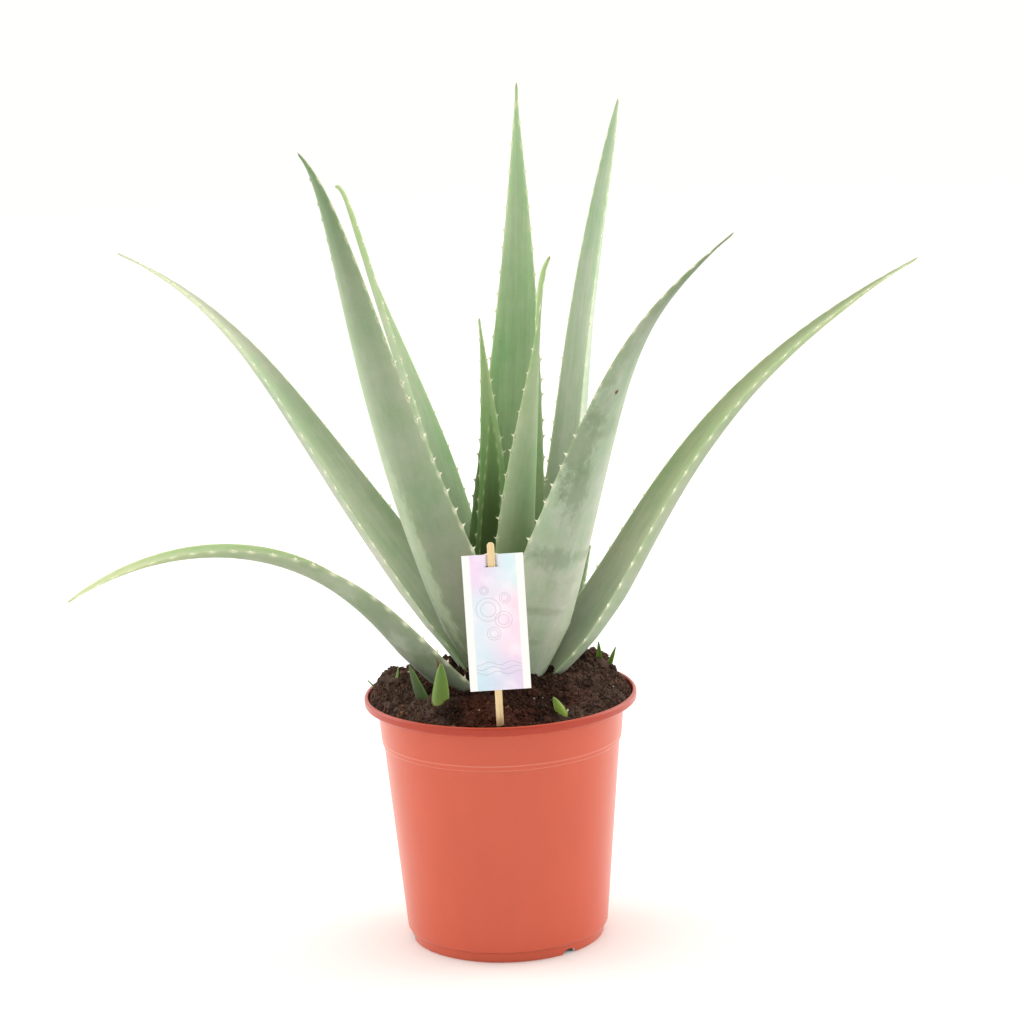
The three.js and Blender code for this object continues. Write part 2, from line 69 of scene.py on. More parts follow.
class Kind(Enum):
    """Kinds of socket on a tree's own inputs and outputs."""

    NUMBER = "NodeSocketFloat"
    COUNT = "NodeSocketInt"
    VECTOR = "NodeSocketVector"
    COLOUR = "NodeSocketColor"
    MESH = "NodeSocketGeometry"
    MATERIAL = "NodeSocketMaterial"


class Term:
    """One output socket, written like a number or a vector in a formula."""

    def __init__(self, graph: "Graph", socket: bpy.types.NodeSocket) -> None:
        """Keeps the graph that the socket is in."""
        self.graph = graph
        self.socket = socket

    @property
    def wide(self) -> bool:
        """True where the socket holds a vector."""
        return self.socket.type == "VECTOR"

    def __add__(self, other: "Value") -> "Term":
        """Sum."""
        return self.graph.combine("ADD", self, other)

    def __radd__(self, other: "Value") -> "Term":
        """Sum with a plain number in front."""
        return self.graph.combine("ADD", other, self)

    def __sub__(self, other: "Value") -> "Term":
        """Difference."""
        return self.graph.combine("SUBTRACT", self, other)

    def __rsub__(self, other: "Value") -> "Term":
        """Difference with a plain number in front."""
        return self.graph.combine("SUBTRACT", other, self)

    def __mul__(self, other: "Value") -> "Term":
        """Product, of a vector and a number too."""
        return self.graph.combine("MULTIPLY", self, other)

    def __rmul__(self, other: "Value") -> "Term":
        """Product with a plain number in front."""
        return self.graph.combine("MULTIPLY", self, other)

    def __truediv__(self, other: "Value") -> "Term":
        """Quotient."""
        return self.graph.combine("DIVIDE", self, other)

    def __pow__(self, other: "Value") -> "Term":
        """Power of a number."""
        return self.graph.math("POWER", self, other)

    def __neg__(self) -> "Term":
        """Opposite."""
        return self * -1.0

    def at_least(self, low: "Value") -> "Term":
        """The larger of the two."""
        return self.graph.math("MAXIMUM", self, low)

    def at_most(self, high: "Value") -> "Term":
        """The smaller of the two."""
        return self.graph.math("MINIMUM", self, high)

    def limited(self) -> "Term":
        """The number held between 0 and 1."""
        return self.at_least(0.0).at_most(1.0)

    def size(self) -> "Term":
        """Absolute value."""
        return self.graph.math("ABSOLUTE", self)

    def dot(self, other: "Term") -> "Term":
        """Dot product."""
        return self.graph.vector("DOT_PRODUCT", self, other, result="Value")

    def cross(self, other: "Term") -> "Term":
        """Cross product."""
        return self.graph.vector("CROSS_PRODUCT", self, other)

    def unit(self) -> "Term":
        """Same direction, length 1."""
        return self.graph.vector("NORMALIZE", self)

    def parts(self) -> tuple["Term", "Term", "Term"]:
        """The three components."""
        node = self.graph.put("ShaderNodeSeparateXYZ", {"Vector": self})
        return tuple(Term(self.graph, node.outputs[axis]) for axis in "XYZ")


Value = Term | bpy.types.NodeSocket | float | int | bool | str | tuple | bpy.types.ID | None


class Graph:
    """A node tree being written. Each call adds a node and hands back its output as a Term."""

    def __init__(self, tree: bpy.types.NodeTree) -> None:
        """Starts on a tree that exists."""
        self.tree = tree
        self.given: dict[str, Term] = {}
        self.last: bpy.types.Node | None = None

    @classmethod
    def new(cls, kind: TreeKind, name: str, inputs: Mapping[str, tuple[Kind, Value]],
            outputs: Mapping[str, Kind]) -> "Graph":
        """Makes a tree with named inputs and outputs.

        Args:
            kind: What the tree is for.
            name: Name of the tree.
            inputs: Kind and default of each input; a None default is left as it is.
            outputs: Kind of each output.

        Returns:
            The graph, with its inputs in given.
        """
        graph = cls(bpy.data.node_groups.new(name, kind.value))
        for label, (socket_kind, default) in inputs.items():
            socket = graph.tree.interface.new_socket(label, in_out="INPUT", socket_type=socket_kind.value)
            if default is not None:
                socket.default_value = default
        for label, socket_kind in outputs.items():
            graph.tree.interface.new_socket(label, in_out="OUTPUT", socket_type=socket_kind.value)
        if inputs:
            source = graph.tree.nodes.new("NodeGroupInput")
            graph.given = {label: Term(graph, source.outputs[label]) for label in inputs}
        graph.last = graph.tree.nodes.new("NodeGroupOutput")
        return graph

    def give(self, **results: Value) -> None:
        """Links the tree's outputs by name, with _ for a space."""
        for label, value in results.items():
            self.feed(self.last.inputs[label.replace("_", " ")], value)

    def put(self, kind: str, inputs: Mapping[str, Value] | None = None,
            **settings: object) -> bpy.types.Node:
        """Adds a node.

        Args:
            kind: The node's type.
            inputs: Value or Term for each input that isn't left at its default.
            **settings: The node's own properties, set first.

        Returns:
            The node.
        """
        node = self.tree.nodes.new(kind)
        for label, value in settings.items():
            setattr(node, label, value)
        for label, value in (inputs or {}).items():
            socket = next(s for s in node.inputs if s.enabled and label in (s.name, s.identifier))
            self.feed(socket, value)
        return node

    def take(self, kind: str, inputs: Mapping[str, Value] | None = None, result: str = "",
             **settings: object) -> Term:
        """Adds a node and hands back its first open output, or the one named result."""
        node = self.put(kind, inputs, **settings)
        return Term(self, next(s for s in node.outputs if s.enabled and result in ("", s.name)))

    def feed(self, socket: bpy.types.NodeSocket, value: Value) -> None:
        """Links a Term to an input, or sets the input's value."""
        if isinstance(value, Term):
            self.tree.links.new(value.socket, socket)
        elif value is not None:
            socket.default_value = value

    def math(self, operation: str, *values: Value) -> Term:
        """One step of arithmetic on numbers."""
        node = self.put("ShaderNodeMath", operation=operation)
        for socket, value in zip(node.inputs, values):
            self.feed(socket, value)
        return Term(self, node.outputs[0])

    def vector(self, operation: str, *values: Value, result: str = "Vector") -> Term:
        """One step of arithmetic on vectors."""
        node = self.put("ShaderNodeVectorMath", operation=operation)
        for socket, value in zip(node.inputs, values):
            self.feed(socket, value)
        return Term(self, node.outputs[result])

    def combine(self, operation: str, a: Value, b: Value) -> Term:
        """Arithmetic that picks numbers, vectors or scaling by what it is given."""
        wide = [isinstance(v, tuple) or (isinstance(v, Term) and v.wide) for v in (a, b)]
        if not any(wide):
            return self.math(operation, a, b)
        if operation == "MULTIPLY" and not all(wide):
            long, scale = (a, b) if wide[0] else (b, a)
            node = self.put("ShaderNodeVectorMath", {"Vector": long, "Scale": scale}, operation="SCALE")
            return Term(self, node.outputs["Vector"])
        return self.vector(operation, a, b)

    def xyz(self, x: Value = 0.0, y: Value = 0.0, z: Value = 0.0) -> Term:
        """A vector of three numbers."""
        return self.take("ShaderNodeCombineXYZ", {"X": x, "Y": y, "Z": z})

    def ramp(self, value: Value, low: Value, high: Value, start: Value = 0.0, end: Value = 1.0) -> Term:
        """Smooth step from start to end while value goes from low to high."""
        return self.take("ShaderNodeMapRange", {"Value": value, "From Min": low, "From Max": high,
                                                "To Min": start, "To Max": end},
                         interpolation_type="SMOOTHSTEP")

    def mix(self, factor: Value, a: Value, b: Value, blend: str = "MIX") -> Term:
        """Colour between a and b."""
        return self.take("ShaderNodeMix", {"Factor": factor, "A": a, "B": b}, data_type="RGBA",
                         blend_type=blend)

    def shaded(self, colour: Value, amount: Value) -> Term:
        """The colour times a number: darker below 1 and lighter above it."""
        return self.mix(1.0, colour, self.xyz(amount, amount, amount), "MULTIPLY")

    def length(self, x: Value, y: Value) -> Term:
        """Length of a vector of two numbers."""
        return self.vector("LENGTH", self.xyz(x, y, 0.0), result="Value")

    def noise(self, place: Value, scale: Value, detail: float = 2.0, roughness: float = 0.5,
              result: str = "Fac") -> Term:
        """Soft noise, 0 to 1, or its colour."""
        return self.take("ShaderNodeTexNoise", {"Vector": place, "Scale": scale, "Detail": detail,
                                                "Roughness": roughness}, result=result)

    def cells(self, place: Value, scale: Value) -> Term:
        """Distance to the nearest of scattered points."""
        return self.take("ShaderNodeTexVoronoi", {"Vector": place, "Scale": scale}, result="Distance")

    def attribute(self, name: str, result: str = "Vector") -> Term:
        """An attribute of the mesh, in a shader."""
        return self.take("ShaderNodeAttribute", result=result, attribute_name=name)

    def store(self, mesh: Value, name: str, value: Value, data_type: str = "FLOAT_VECTOR",
              domain: str = "POINT") -> Term:
        """Keeps a value as an attribute, in a geometry tree."""
        return self.take("GeometryNodeStoreNamedAttribute", {"Geometry": mesh, "Name": name,
                                                             "Value": value},
                         data_type=data_type, domain=domain)

    def chance(self, low: Value, high: Value, seed: Value, which: Value = None) -> Term:
        """A random number for each point, or for each whole number in which."""
        return self.take("FunctionNodeRandomValue", {"Min": low, "Max": high, "ID": which, "Seed": seed},
                         data_type="FLOAT")

    def place(self) -> Term:
        """Position of the point, in a geometry tree."""
        return self.take("GeometryNodeInputPosition")

    def moved(self, mesh: Value, place: Term) -> Term:
        """The mesh with its points at new places, in a geometry tree."""
        return self.take("GeometryNodeSetPosition", {"Geometry": mesh, "Position": place})

    def end(self, mesh: Value, material: Value) -> None:
        """Ends a geometry tree: plain geometry in its material."""
        plain = self.take("GeometryNodeRealizeInstances", {"Geometry": mesh})
        self.give(Geometry=self.take("GeometryNodeSetMaterial", {"Geometry": plain,
                                                                 "Material": material}))

    def group(self, tree: bpy.types.NodeTree, values: Mapping[str, Value]) -> dict[str, Term]:
        """Places a node group.

        Args:
            tree: The group.
            values: Value or Term for each of its inputs.

        Returns:
            Its outputs by name.
        """
        node = self.put("ShaderNodeGroup", node_tree=tree)
        for label, value in values.items():
            self.feed(node.inputs[label], value)
        return {s.name: Term(self, s) for s in node.outputs}


def tone(code: str) -> tuple[float, float, float, float]:
    """Scene colour of a six-digit screen colour."""
    levels = [int(code[i:i + 2], 16) / 255 for i in (0, 2, 4)]
    return (*[v / 12.92 if v <= 0.04045 else ((v + 0.055) / 1.055) ** 2.4 for v in levels], 1.0)


def limited(value: float) -> float:
    """The value held between 0 and 1."""
    return min(max(value, 0.0), 1.0)


# ---- meshes ----


def mesh_object(name: str, points: Sequence[Sequence[float]], faces: Sequence[Sequence[int]],
                edges: Sequence[Sequence[int]] = ()) -> bpy.types.Object:
    """Makes an object of a mesh in the scene, at the origin.

    Args:
        name: Name of the object and its mesh.
        points: Places in metres.
        faces: Rows of point numbers.
        edges: Loose edges, for an outline.

    Returns:
        The object.
    """
    mesh = bpy.data.meshes.new(name)
    mesh.from_pydata([tuple(p) for p in points], list(edges), [tuple(f) for f in faces])
    made = bpy.data.objects.new(name, mesh)
    bpy.context.scene.collection.objects.link(made)
    return made


def finish_modifiers(piece: bpy.types.Object) -> None:
    """Turns the object's modifiers into a plain mesh of its own."""
    graph = bpy.context.evaluated_depsgraph_get()
    mesh = bpy.data.meshes.new_from_object(piece.evaluated_get(graph), preserve_all_data_layers=True,
                                           depsgraph=graph)
    old = piece.data
    piece.modifiers.clear()
    piece.data = mesh
    mesh.name = piece.name
    bpy.data.meshes.remove(old)


def grow(piece: bpy.types.Object, tree: bpy.types.NodeTree, values: Mapping[str, object]) -> None:
    """Runs a geometry tree on an object and keeps the result as its plain mesh.

    Args:
        piece: The object whose mesh goes in.
        tree: The tree.
        values: Value of each named input.
    """
    modifier = piece.modifiers.new("rule", "NODES")
    modifier.node_group = tree
    for item in tree.interface.items_tree:
        if item.item_type == "SOCKET" and item.in_out == "INPUT" and item.name in values:
            modifier[item.identifier] = values[item.name]
    finish_modifiers(piece)


def face_out(piece: bpy.types.Object, merge: float = 1e-6) -> None:
    """Merges doubles and turns each closed shell's faces outwards."""
    shape = bmesh.new()
    shape.from_mesh(piece.data)
    bmesh.ops.remove_doubles(shape, verts=shape.verts, dist=merge)
    bmesh.ops.dissolve_degenerate(shape, edges=shape.edges, dist=1e-7)
    bmesh.ops.recalc_face_normals(shape, faces=shape.faces)
    shape.to_mesh(piece.data)
    shape.free()


def smooth(piece: bpy.types.Object, angle: float | None = None) -> None:
    """Shades smooth, with edges sharper than angle, in degrees, kept."""
    piece.data.shade_smooth()
    if angle is not None:
        piece.data.set_sharp_from_angle(angle=math.radians(angle))


def hand_over(piece: bpy.types.Object, slot: str, *nodes: str) -> None:
    """Rides the piece on the body, in place of these nodes."""
    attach(piece, BODY)
    if nodes:
        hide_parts(*nodes)
    LOG.info("%s: %d faces", piece.name, len(piece.data.polygons))


def millimetres(points: Iterable[Sequence[float]]) -> list[Point]:
    """The same points in metres."""
    return [tuple(c * MM for c in p) for p in points]


# ---- finishes ----


@dataclass(frozen=True)
class BladeNoise:
    """Noise on a blade: changes in a metre across and along it, shift of its seed, and detail."""

    across: float
    along: float
    shift: float
    detail: float = 2.0
    roughness: float = 0.5

    def on(self, g: Graph, across: Term, along: Term, seed: Value) -> Term:
        """The noise, 0 to 1, at a place on the blade."""
        place = g.xyz(across * self.across, along * self.along, seed + self.shift)
        return g.noise(place, 1.0, self.detail, self.roughness)


class Effects:
    """Shader groups that more than one material uses, each made once, and the skin's noises."""

    FINE_LINES = BladeNoise(1100.0, 26.0, 0.0, 3.0, 0.6)
    WIDE_LINES = BladeNoise(260.0, 10.0, 3.0)
    PATCHES = BladeNoise(55.0, 34.0, 7.0, 4.0, 0.62)
    BELTS = BladeNoise(9.0, 52.0, 11.0)
    SMEARS = BladeNoise(140.0, 90.0, 17.0, 5.0, 0.7)
    CLOUDS = BladeNoise(30.0, 12.0, 23.0, 3.0, 0.55)
    SCARRED = BladeNoise(18.0, 14.0, 29.0, 1.0)
    THREADS = BladeNoise(90.0, 60.0, 41.0, 1.5)
    UNTOUCHED = (1.0, 1.0, 1.0, 1.0)
    WAXLESS = (0.66, 0.78, 0.58, 1.0)

    def __init__(self) -> None:
        """Nothing is made before it is asked for."""
        self.made: dict[str, bpy.types.NodeTree] = {}

    def get(self, name: str, build: Callable[[], bpy.types.NodeTree]) -> bpy.types.NodeTree:
        """The group of that name, made the first time."""
        if name not in self.made:
            self.made[name] = build()
        return self.made[name]

    def mottle(self) -> bpy.types.NodeTree:
        """Uneven colour and gloss, for plastic, wood and paper."""
        return self.get("mottle", self._mottle)

    def skin(self) -> bpy.types.NodeTree:
        """A succulent's skin: bloom, streaks, pale margins and scars, with painted rim and side light."""
        return self.get("skin", self._skin)

    @staticmethod
    def _mottle() -> bpy.types.NodeTree:
        """Builds the mottle group."""
        g = Graph.new(TreeKind.SHADER, "mottle", {
            "Vector": (Kind.VECTOR, None), "Colour": (Kind.COLOUR, None),
            "Scale": (Kind.NUMBER, 40.0), "Amount": (Kind.NUMBER, 0.1),
            "Gloss": (Kind.NUMBER, 0.4), "Gloss change": (Kind.NUMBER, 0.1),
            "Grain scale": (Kind.NUMBER, 900.0),
        }, {"Colour": Kind.COLOUR, "Roughness": Kind.NUMBER, "Height": Kind.NUMBER})
        given = g.given
        broad = g.noise(given["Vector"], given["Scale"], 4.0, 0.6)
        fine = g.noise(given["Vector"], given["Grain scale"], 2.0)
        shade = 1.0 + (broad - 0.5) * given["Amount"] * 2.0 + (fine - 0.5) * given["Amount"] * 0.6
        colour = g.shaded(given["Colour"], shade)
        rough = given["Gloss"] + (broad - 0.5) * given["Gloss change"]
        g.give(Colour=colour, Roughness=rough, Height=fine)
        return g.tree

    def _skin(self) -> bpy.types.NodeTree:
        """Builds the skin group, on the places that the blades carry."""
        colours = ("Back low", "Back middle", "Back high", "Inner low", "Inner middle", "Inner high",
                   "Margin", "Tooth", "Scar")
        g = Graph.new(TreeKind.SHADER, "skin", {
            **{name: (Kind.COLOUR, None) for name in colours},
            "Bloom": (Kind.NUMBER, 0.3), "Streaks": (Kind.NUMBER, 0.2), "Wiped": (Kind.NUMBER, 0.5),
            "Bands": (Kind.NUMBER, 0.3), "Dry tip": (Kind.NUMBER, 0.3), "Scars": (Kind.NUMBER, 0.5),
            "Limb": (Kind.NUMBER, 0.25), "Lean": (Kind.NUMBER, 0.0), "Seed": (Kind.NUMBER, 0.0),
        }, {"Colour": Kind.COLOUR, "Roughness": Kind.NUMBER, "Height": Kind.NUMBER})
        given = g.given
        # Places: metres across and along, share of the length, inner side, distance to the margin.
        across, along, part = g.attribute("blade_place").parts()
        inner, rim, near_tooth = g.attribute("blade_zone").parts()
        tooth = g.attribute("tooth_height", "Fac")
        seed = given["Seed"]
        fine, wide, patch, band, smear, cloud, scarred, thread = (
            kind.on(g, across, along, seed)
            for kind in (self.FINE_LINES, self.WIDE_LINES, self.PATCHES, self.BELTS, self.SMEARS,
                         self.CLOUDS, self.SCARRED, self.THREADS))

        # Colour from foot to tip, the foot's colours partly painted shade, clouded by the bloom and greener
        # where the wax is gone.
        rise, top = g.ramp(part, 0.12, 0.5), g.ramp(part, 0.55, 0.97)
        back = g.mix(top, g.mix(rise, given["Back low"], given["Back middle"]), given["Back high"])
        front = g.mix(top, g.mix(rise, given["Inner low"], given["Inner middle"]), given["Inner high"])
        colour = g.mix(inner, back, front)
        powder = 1.0 + ((cloud - 0.5) * 1.1 + (patch - 0.5) * 0.6 + (smear - 0.5) * 0.8) * given["Bloom"]
        colour = g.mix(1.0, colour, g.xyz(powder, powder * 0.35 + 0.65, powder), "MULTIPLY")
        wiped = g.ramp(patch + (band - 0.5) * 0.5 + (smear - 0.5) * 0.3, 0.54, 0.66) * given["Wiped"]
        belt = g.ramp(band + (smear - 0.5) * 0.3 + (patch - 0.5) * 0.3, 0.5, 0.7) * given["Bands"]
        bare = wiped.at_least(belt) * (1.0 - inner * 0.6)
        # Painted rim and side light: the back lighter towards both margins than in its middle, and one
        # margin lighter than the other.
        turn = across / (across.size() + rim + 1e-5)
        limb = 1.0 + given["Limb"] * (turn * turn - 0.35) * (1.0 - inner * 0.6) + given["Lean"] * turn
        colour = g.shaded(colour, limb)
        colour = g.mix(1.0, colour, g.mix(bare, self.UNTOUCHED, self.WAXLESS), "MULTIPLY")
        shade = 1.0 + ((fine - 0.5) * 0.9 + (wide - 0.5)) * given["Streaks"] * (0.55 + inner * 0.9)
        colour = g.shaded(colour, shade)

        # Pale margin with a pale spot under each tooth, the teeth, and the dry tip.
        edge = g.ramp(rim, 0.7 * MM, 0.1 * MM) * (0.35 + near_tooth * 0.35)
        knob = near_tooth * g.ramp(rim, 1.3 * MM, 0.3 * MM)
        colour = g.mix(edge, colour, given["Margin"])
        colour = g.mix(knob * 0.7, colour, given["Tooth"])
        colour = g.mix(g.ramp(tooth, 0.05, 0.45), colour, given["Tooth"])
        colour = g.mix(g.ramp(part, 0.985, 0.998) * given["Dry tip"], colour, given["Scar"])

        # Corky flecks and thin scratches, in patches.
        flecks = g.cells(g.xyz(across * 46.0, along * 30.0, seed), 1.0)
        fleck = g.ramp(flecks, 0.055, 0.02) * g.ramp(scarred, 0.6, 0.66)
        scratch = g.ramp((thread - 0.5).size(), 0.006, 0.001) * g.ramp(scarred, 0.56, 0.64) * 0.45
        scar = (fleck + scratch).at_most(1.0) * given["Scars"] * (1.0 - tooth).at_least(0.0)
        colour = g.mix(scar, colour, given["Scar"])

        rough = 0.56 - bare * 0.12 + (fine - 0.5) * 0.08 - tooth * 0.1
        height = fine * 0.35 + wide * 0.8 + smear * 0.25 - scar * 1.2
        g.give(Colour=colour, Roughness=rough, Height=height)
        return g.tree


@dataclass(frozen=True)
class Surface:
    """Constants of the shader that a material ends in, with lengths in metres."""

    specular: float = 0.45
    flesh: float = 0.0
    flesh_reach: Point = (0.004, 0.004, 0.002)
    coat: float = 0.0
    coat_rough: float = 0.25
    sheen: float = 0.0
    sheen_rough: float = 0.45
    bump: float = 0.3
    bump_reach: float = 0.0003


class Finish:
    """A material being written: a graph that ends in one shader."""

    def __init__(self, name: str, surface: Surface) -> None:
        """Makes the material with its shader.

        Args:
            name: Name of the material.
            surface: The shader's constants.
        """
        self.material = bpy.data.materials.new(name)
        self.material.use_nodes = True
        self.graph = Graph(self.material.node_tree)
        self.graph.tree.nodes.clear()
        self.surface = surface
        self.shader = self.graph.put("ShaderNodeBsdfPrincipled")
        sockets = self.shader.inputs
        sockets["Specular IOR Level"].default_value = surface.specular
        sockets["Subsurface Weight"].default_value = surface.flesh
        sockets["Subsurface Radius"].default_value = surface.flesh_reach
        sockets["Subsurface Scale"].default_value = 1.0
        sockets["Coat Weight"].default_value = surface.coat
        sockets["Coat Roughness"].default_value = surface.coat_rough
        sockets["Sheen Weight"].default_value = surface.sheen
        sockets["Sheen Roughness"].default_value = surface.sheen_rough
        self.graph.put("ShaderNodeOutputMaterial", {"Surface": Term(self.graph, self.shader.outputs[0])})

    def object_place(self) -> Term:
        """The point's place on the object."""
        return self.graph.take("ShaderNodeTexCoord", result="Object")

    def close(self, colour: Value, rough: Value, height: Value = None) -> bpy.types.Material:
        """Feeds the shader.

        Args:
            colour: Base colour.
            rough: Roughness.
            height: Height of the bump, 0 to 1.

        Returns:
            The material.
        """
        self.graph.feed(self.shader.inputs["Base Color"], colour)
        self.graph.feed(self.shader.inputs["Roughness"], rough)
        if height is not None:
            normal = self.graph.take("ShaderNodeBump", {"Height": height, "Strength": self.surface.bump,
                                                        "Distance": self.surface.bump_reach})
            self.graph.feed(self.shader.inputs["Normal"], normal)
        return self.material


@dataclass(frozen=True)
class Mark:
    """A soft mark on a leaf's back, in millimetres: where, how large, its colour and strength."""

    across: float
    along: float
    wide: float
    long: float
    colour: str
    strength: float


@dataclass(frozen=True)
class SkinFinish:
    """Finish of one leaf or shoot: colours at its foot, middle and tip, outside and inside."""

    FRAY: ClassVar[BladeNoise] = BladeNoise(260.0, 110.0, 53.0, 5.0, 0.7)

    name: str
    # The foot colours, first of each three, are mostly darker: partly real and partly painted shade where
    # leaves and soil crowd the foot.
    back: tuple[str, str, str]
    inner: tuple[str, str, str]
    margin: str = "bccb98"
    tooth: str = "f3f4d2"
    scar: str = "6d5a3a"
    bloom: float = 0.8
    streaks: float = 0.2
    wiped: float = 0.25
    bands: float = 0.15
    dry_tip: float = 0.35
    scars: float = 0.5
    # Painted light on the back: lighter towards both margins and darker in the middle, and one side lighter
    # than the other.
    limb: float = 0.42
    lean: float = 0.0
    sheen: float = 0.1
    marks: tuple[Mark, ...] = ()
    seed: float = 0.0

    def make(self, effects: Effects) -> bpy.types.Material:
        """The material, on the shared skin group."""
        finish = Finish(self.name, Surface(specular=0.42, flesh=0.12, flesh_reach=(0.003, 0.004, 0.0015),
                                           sheen=self.sheen, bump=0.35, bump_reach=0.00035))
        where = ("low", "middle", "high")
        out = finish.graph.group(effects.skin(), {
            **{f"Back {w}": tone(code) for w, code in zip(where, self.back)},
            **{f"Inner {w}": tone(code) for w, code in zip(where, self.inner)},
            "Margin": tone(self.margin), "Tooth": tone(self.tooth), "Scar": tone(self.scar),
            "Bloom": self.bloom, "Streaks": self.streaks, "Wiped": self.wiped, "Bands": self.bands,
            "Dry tip": self.dry_tip, "Scars": self.scars, "Seed": self.seed,
            "Limb": self.limb, "Lean": self.lean,
        })
        return finish.close(self._marked(finish.graph, out["Colour"]), out["Roughness"], out["Height"])

    def _marked(self, g: Graph, colour: Term) -> Term:
        """The colour with the leaf's own marks on it."""
        if not self.marks:
            return colour
        across, along, _ = g.attribute("blade_place").parts()
        back = 1.0 - g.attribute("blade_zone").parts()[0]
        fray = self.FRAY.on(g, across, along, self.seed) - 0.5
        for mark in self.marks:
            x = (across - mark.across * MM) / (mark.wide * MM)
            y = (along - mark.along * MM) / (mark.long * MM)
            away = g.length(x, y) + fray * 1.9
            colour = g.mix(g.ramp(away, 1.1, 0.35) * back * mark.strength, colour, tone(mark.colour))
        return colour


@dataclass(frozen=True)
class PlasticFinish:
    """Terracotta-coloured moulded plastic, with the heights of its lip, its painted highlight lines and its
    painted shade line in millimetres.
    """

    name: str = "pot_plastic"
    colour: str = "c95539"
    deep: str = "aa2e0d"
    painted_highlight: str = "e9a893"
    step_shade: str = "9a3a24"
    scuffed: str = "e8a28c"
    foot_darkening: str = "9a5a44"
    lip_under: tuple[float, float] = (149.8, 151.2)
    lip_top: tuple[float, float] = (157.5, 156.2)
    collar_highlight_lines: tuple[float, float] = (126.9, 129.9)
    step_shade_height: float = 6.6
    foot_darkening_top: float = 7.0

    def make(self, effects: Effects) -> bpy.types.Material:
        """The material: faint flow marks, painted highlight lines at the collar, painted shade at the foot
        step, a darker foot and small scuffs.
        """
        finish = Finish(self.name, Surface(specular=0.3, flesh=0.1, flesh_reach=(0.004, 0.001, 0.0006),
                                           coat=0.4, bump=0.12, bump_reach=0.0001))
        g = finish.graph
        place = finish.object_place()
        x, y, z = place.parts()
        round_pot = g.math("ARCTAN2", y, x)
        flow = g.noise(g.xyz(round_pot * 2.2, z * 9.0, 0.0), 2.0, 3.0)
        fine = g.noise(g.xyz(round_pot * 14.0, z * 260.0, 0.0), 1.0, 3.0, 0.6)
        lip = (g.ramp(z, self.lip_under[0] * MM, self.lip_under[1] * MM)
               * g.ramp(z, self.lip_top[0] * MM, self.lip_top[1] * MM))
        colour = g.mix(lip * 0.95, tone(self.colour), tone(self.deep))
        # Painted highlights: two pale lines round the collar step.
        for height in self.collar_highlight_lines:
            line = g.ramp((z - height * MM).size(), 0.6 * MM, 0.2 * MM)
            colour = g.mix(line * 0.26, colour, tone(self.painted_highlight))
        # Painted shade: a dark line on the ledge under the body's edge at the foot.
        line = g.ramp((z - self.step_shade_height * MM).size(), 0.8 * MM, 0.3 * MM)
        colour = g.mix(line * 0.5, colour, tone(self.step_shade))
        out = g.group(effects.mottle(), {"Vector": place, "Colour": colour, "Scale": 18.0,
                                         "Amount": 0.05, "Gloss": 0.36, "Gloss change": 0.12,
                                         "Grain scale": 1500.0})
        worn = g.shaded(out["Colour"], 1.0 + (flow - 0.5) * 0.1 + (fine - 0.5) * 0.05)
        scuff = g.ramp(g.noise(g.xyz(x * 60.0, y * 60.0, z * 420.0), 1.0, 4.0, 0.7), 0.68, 0.8)
        worn = g.mix(scuff * 0.12, worn, tone(self.scuffed))
        # Darker towards the bottom.
        foot_darkening_share = g.ramp(z, self.foot_darkening_top * MM, 0.0) * 0.18
        worn = g.mix(foot_darkening_share, worn, tone(self.foot_darkening))
        return finish.close(worn, out["Roughness"] + scuff * 0.12, out["Height"] + fine * 0.5)


@dataclass(frozen=True)
class EarthFinish:
    """Peat and what is in it, with the places of its redder and paler stretches in millimetres."""

    name: str
    dark: str
    light: str
    red: str = "5a3022"
    side_pale: str = "725c50"
    damp: float = 0.25
    side_paling: float = 0.68
    side_pale_from: float = 20.0
    side_pale_to: float = 55.0
    red_at: tuple[float, float] = (-8.0, -66.0)

    def make(self, effects: Effects) -> bpy.types.Material:
        """The material: tinted grain by grain, with painted shade in the bed's hollows, redder at the front
        and paler towards the sides.
        """
        finish = Finish(self.name, Surface(specular=0.2, bump=0.9, bump_reach=0.0006))
        g = finish.graph
        place = finish.object_place()
        tone_and_shade = g.attribute("tone_and_shade", "Fac")
        broad = g.noise(place, 70.0, 3.0, 0.6)
        fine = g.noise(place, 900.0, 4.0, 0.75)
        x, y, _ = place.parts()
        front = g.length((x - self.red_at[0] * MM) * 0.55, y - self.red_at[1] * MM)
        reddish = g.ramp(g.noise(place, 38.0, 2.0) + g.ramp(front, 22 * MM, 6 * MM, 0.0, 0.2), 0.5, 0.68)
        # Paler and greyer towards both sides.
        side_pale = g.ramp(x.size() + (broad - 0.5) * 0.03, self.side_pale_from * MM,
                           self.side_pale_to * MM) * self.side_paling
        colour = g.mix((tone_and_shade * 0.75 + (fine - 0.35) * 0.9).limited(), tone(self.dark), tone(self.light))
        colour = g.mix(reddish * 0.55, colour, tone(self.red))
        colour = g.mix(side_pale * (0.3 + broad * 0.6), colour, tone(self.side_pale))
        colour = g.shaded(colour, 0.7 + broad * 0.6)
        rough = 0.95 - self.damp * g.ramp(broad, 0.45, 0.7)
        return finish.close(colour, rough, fine)


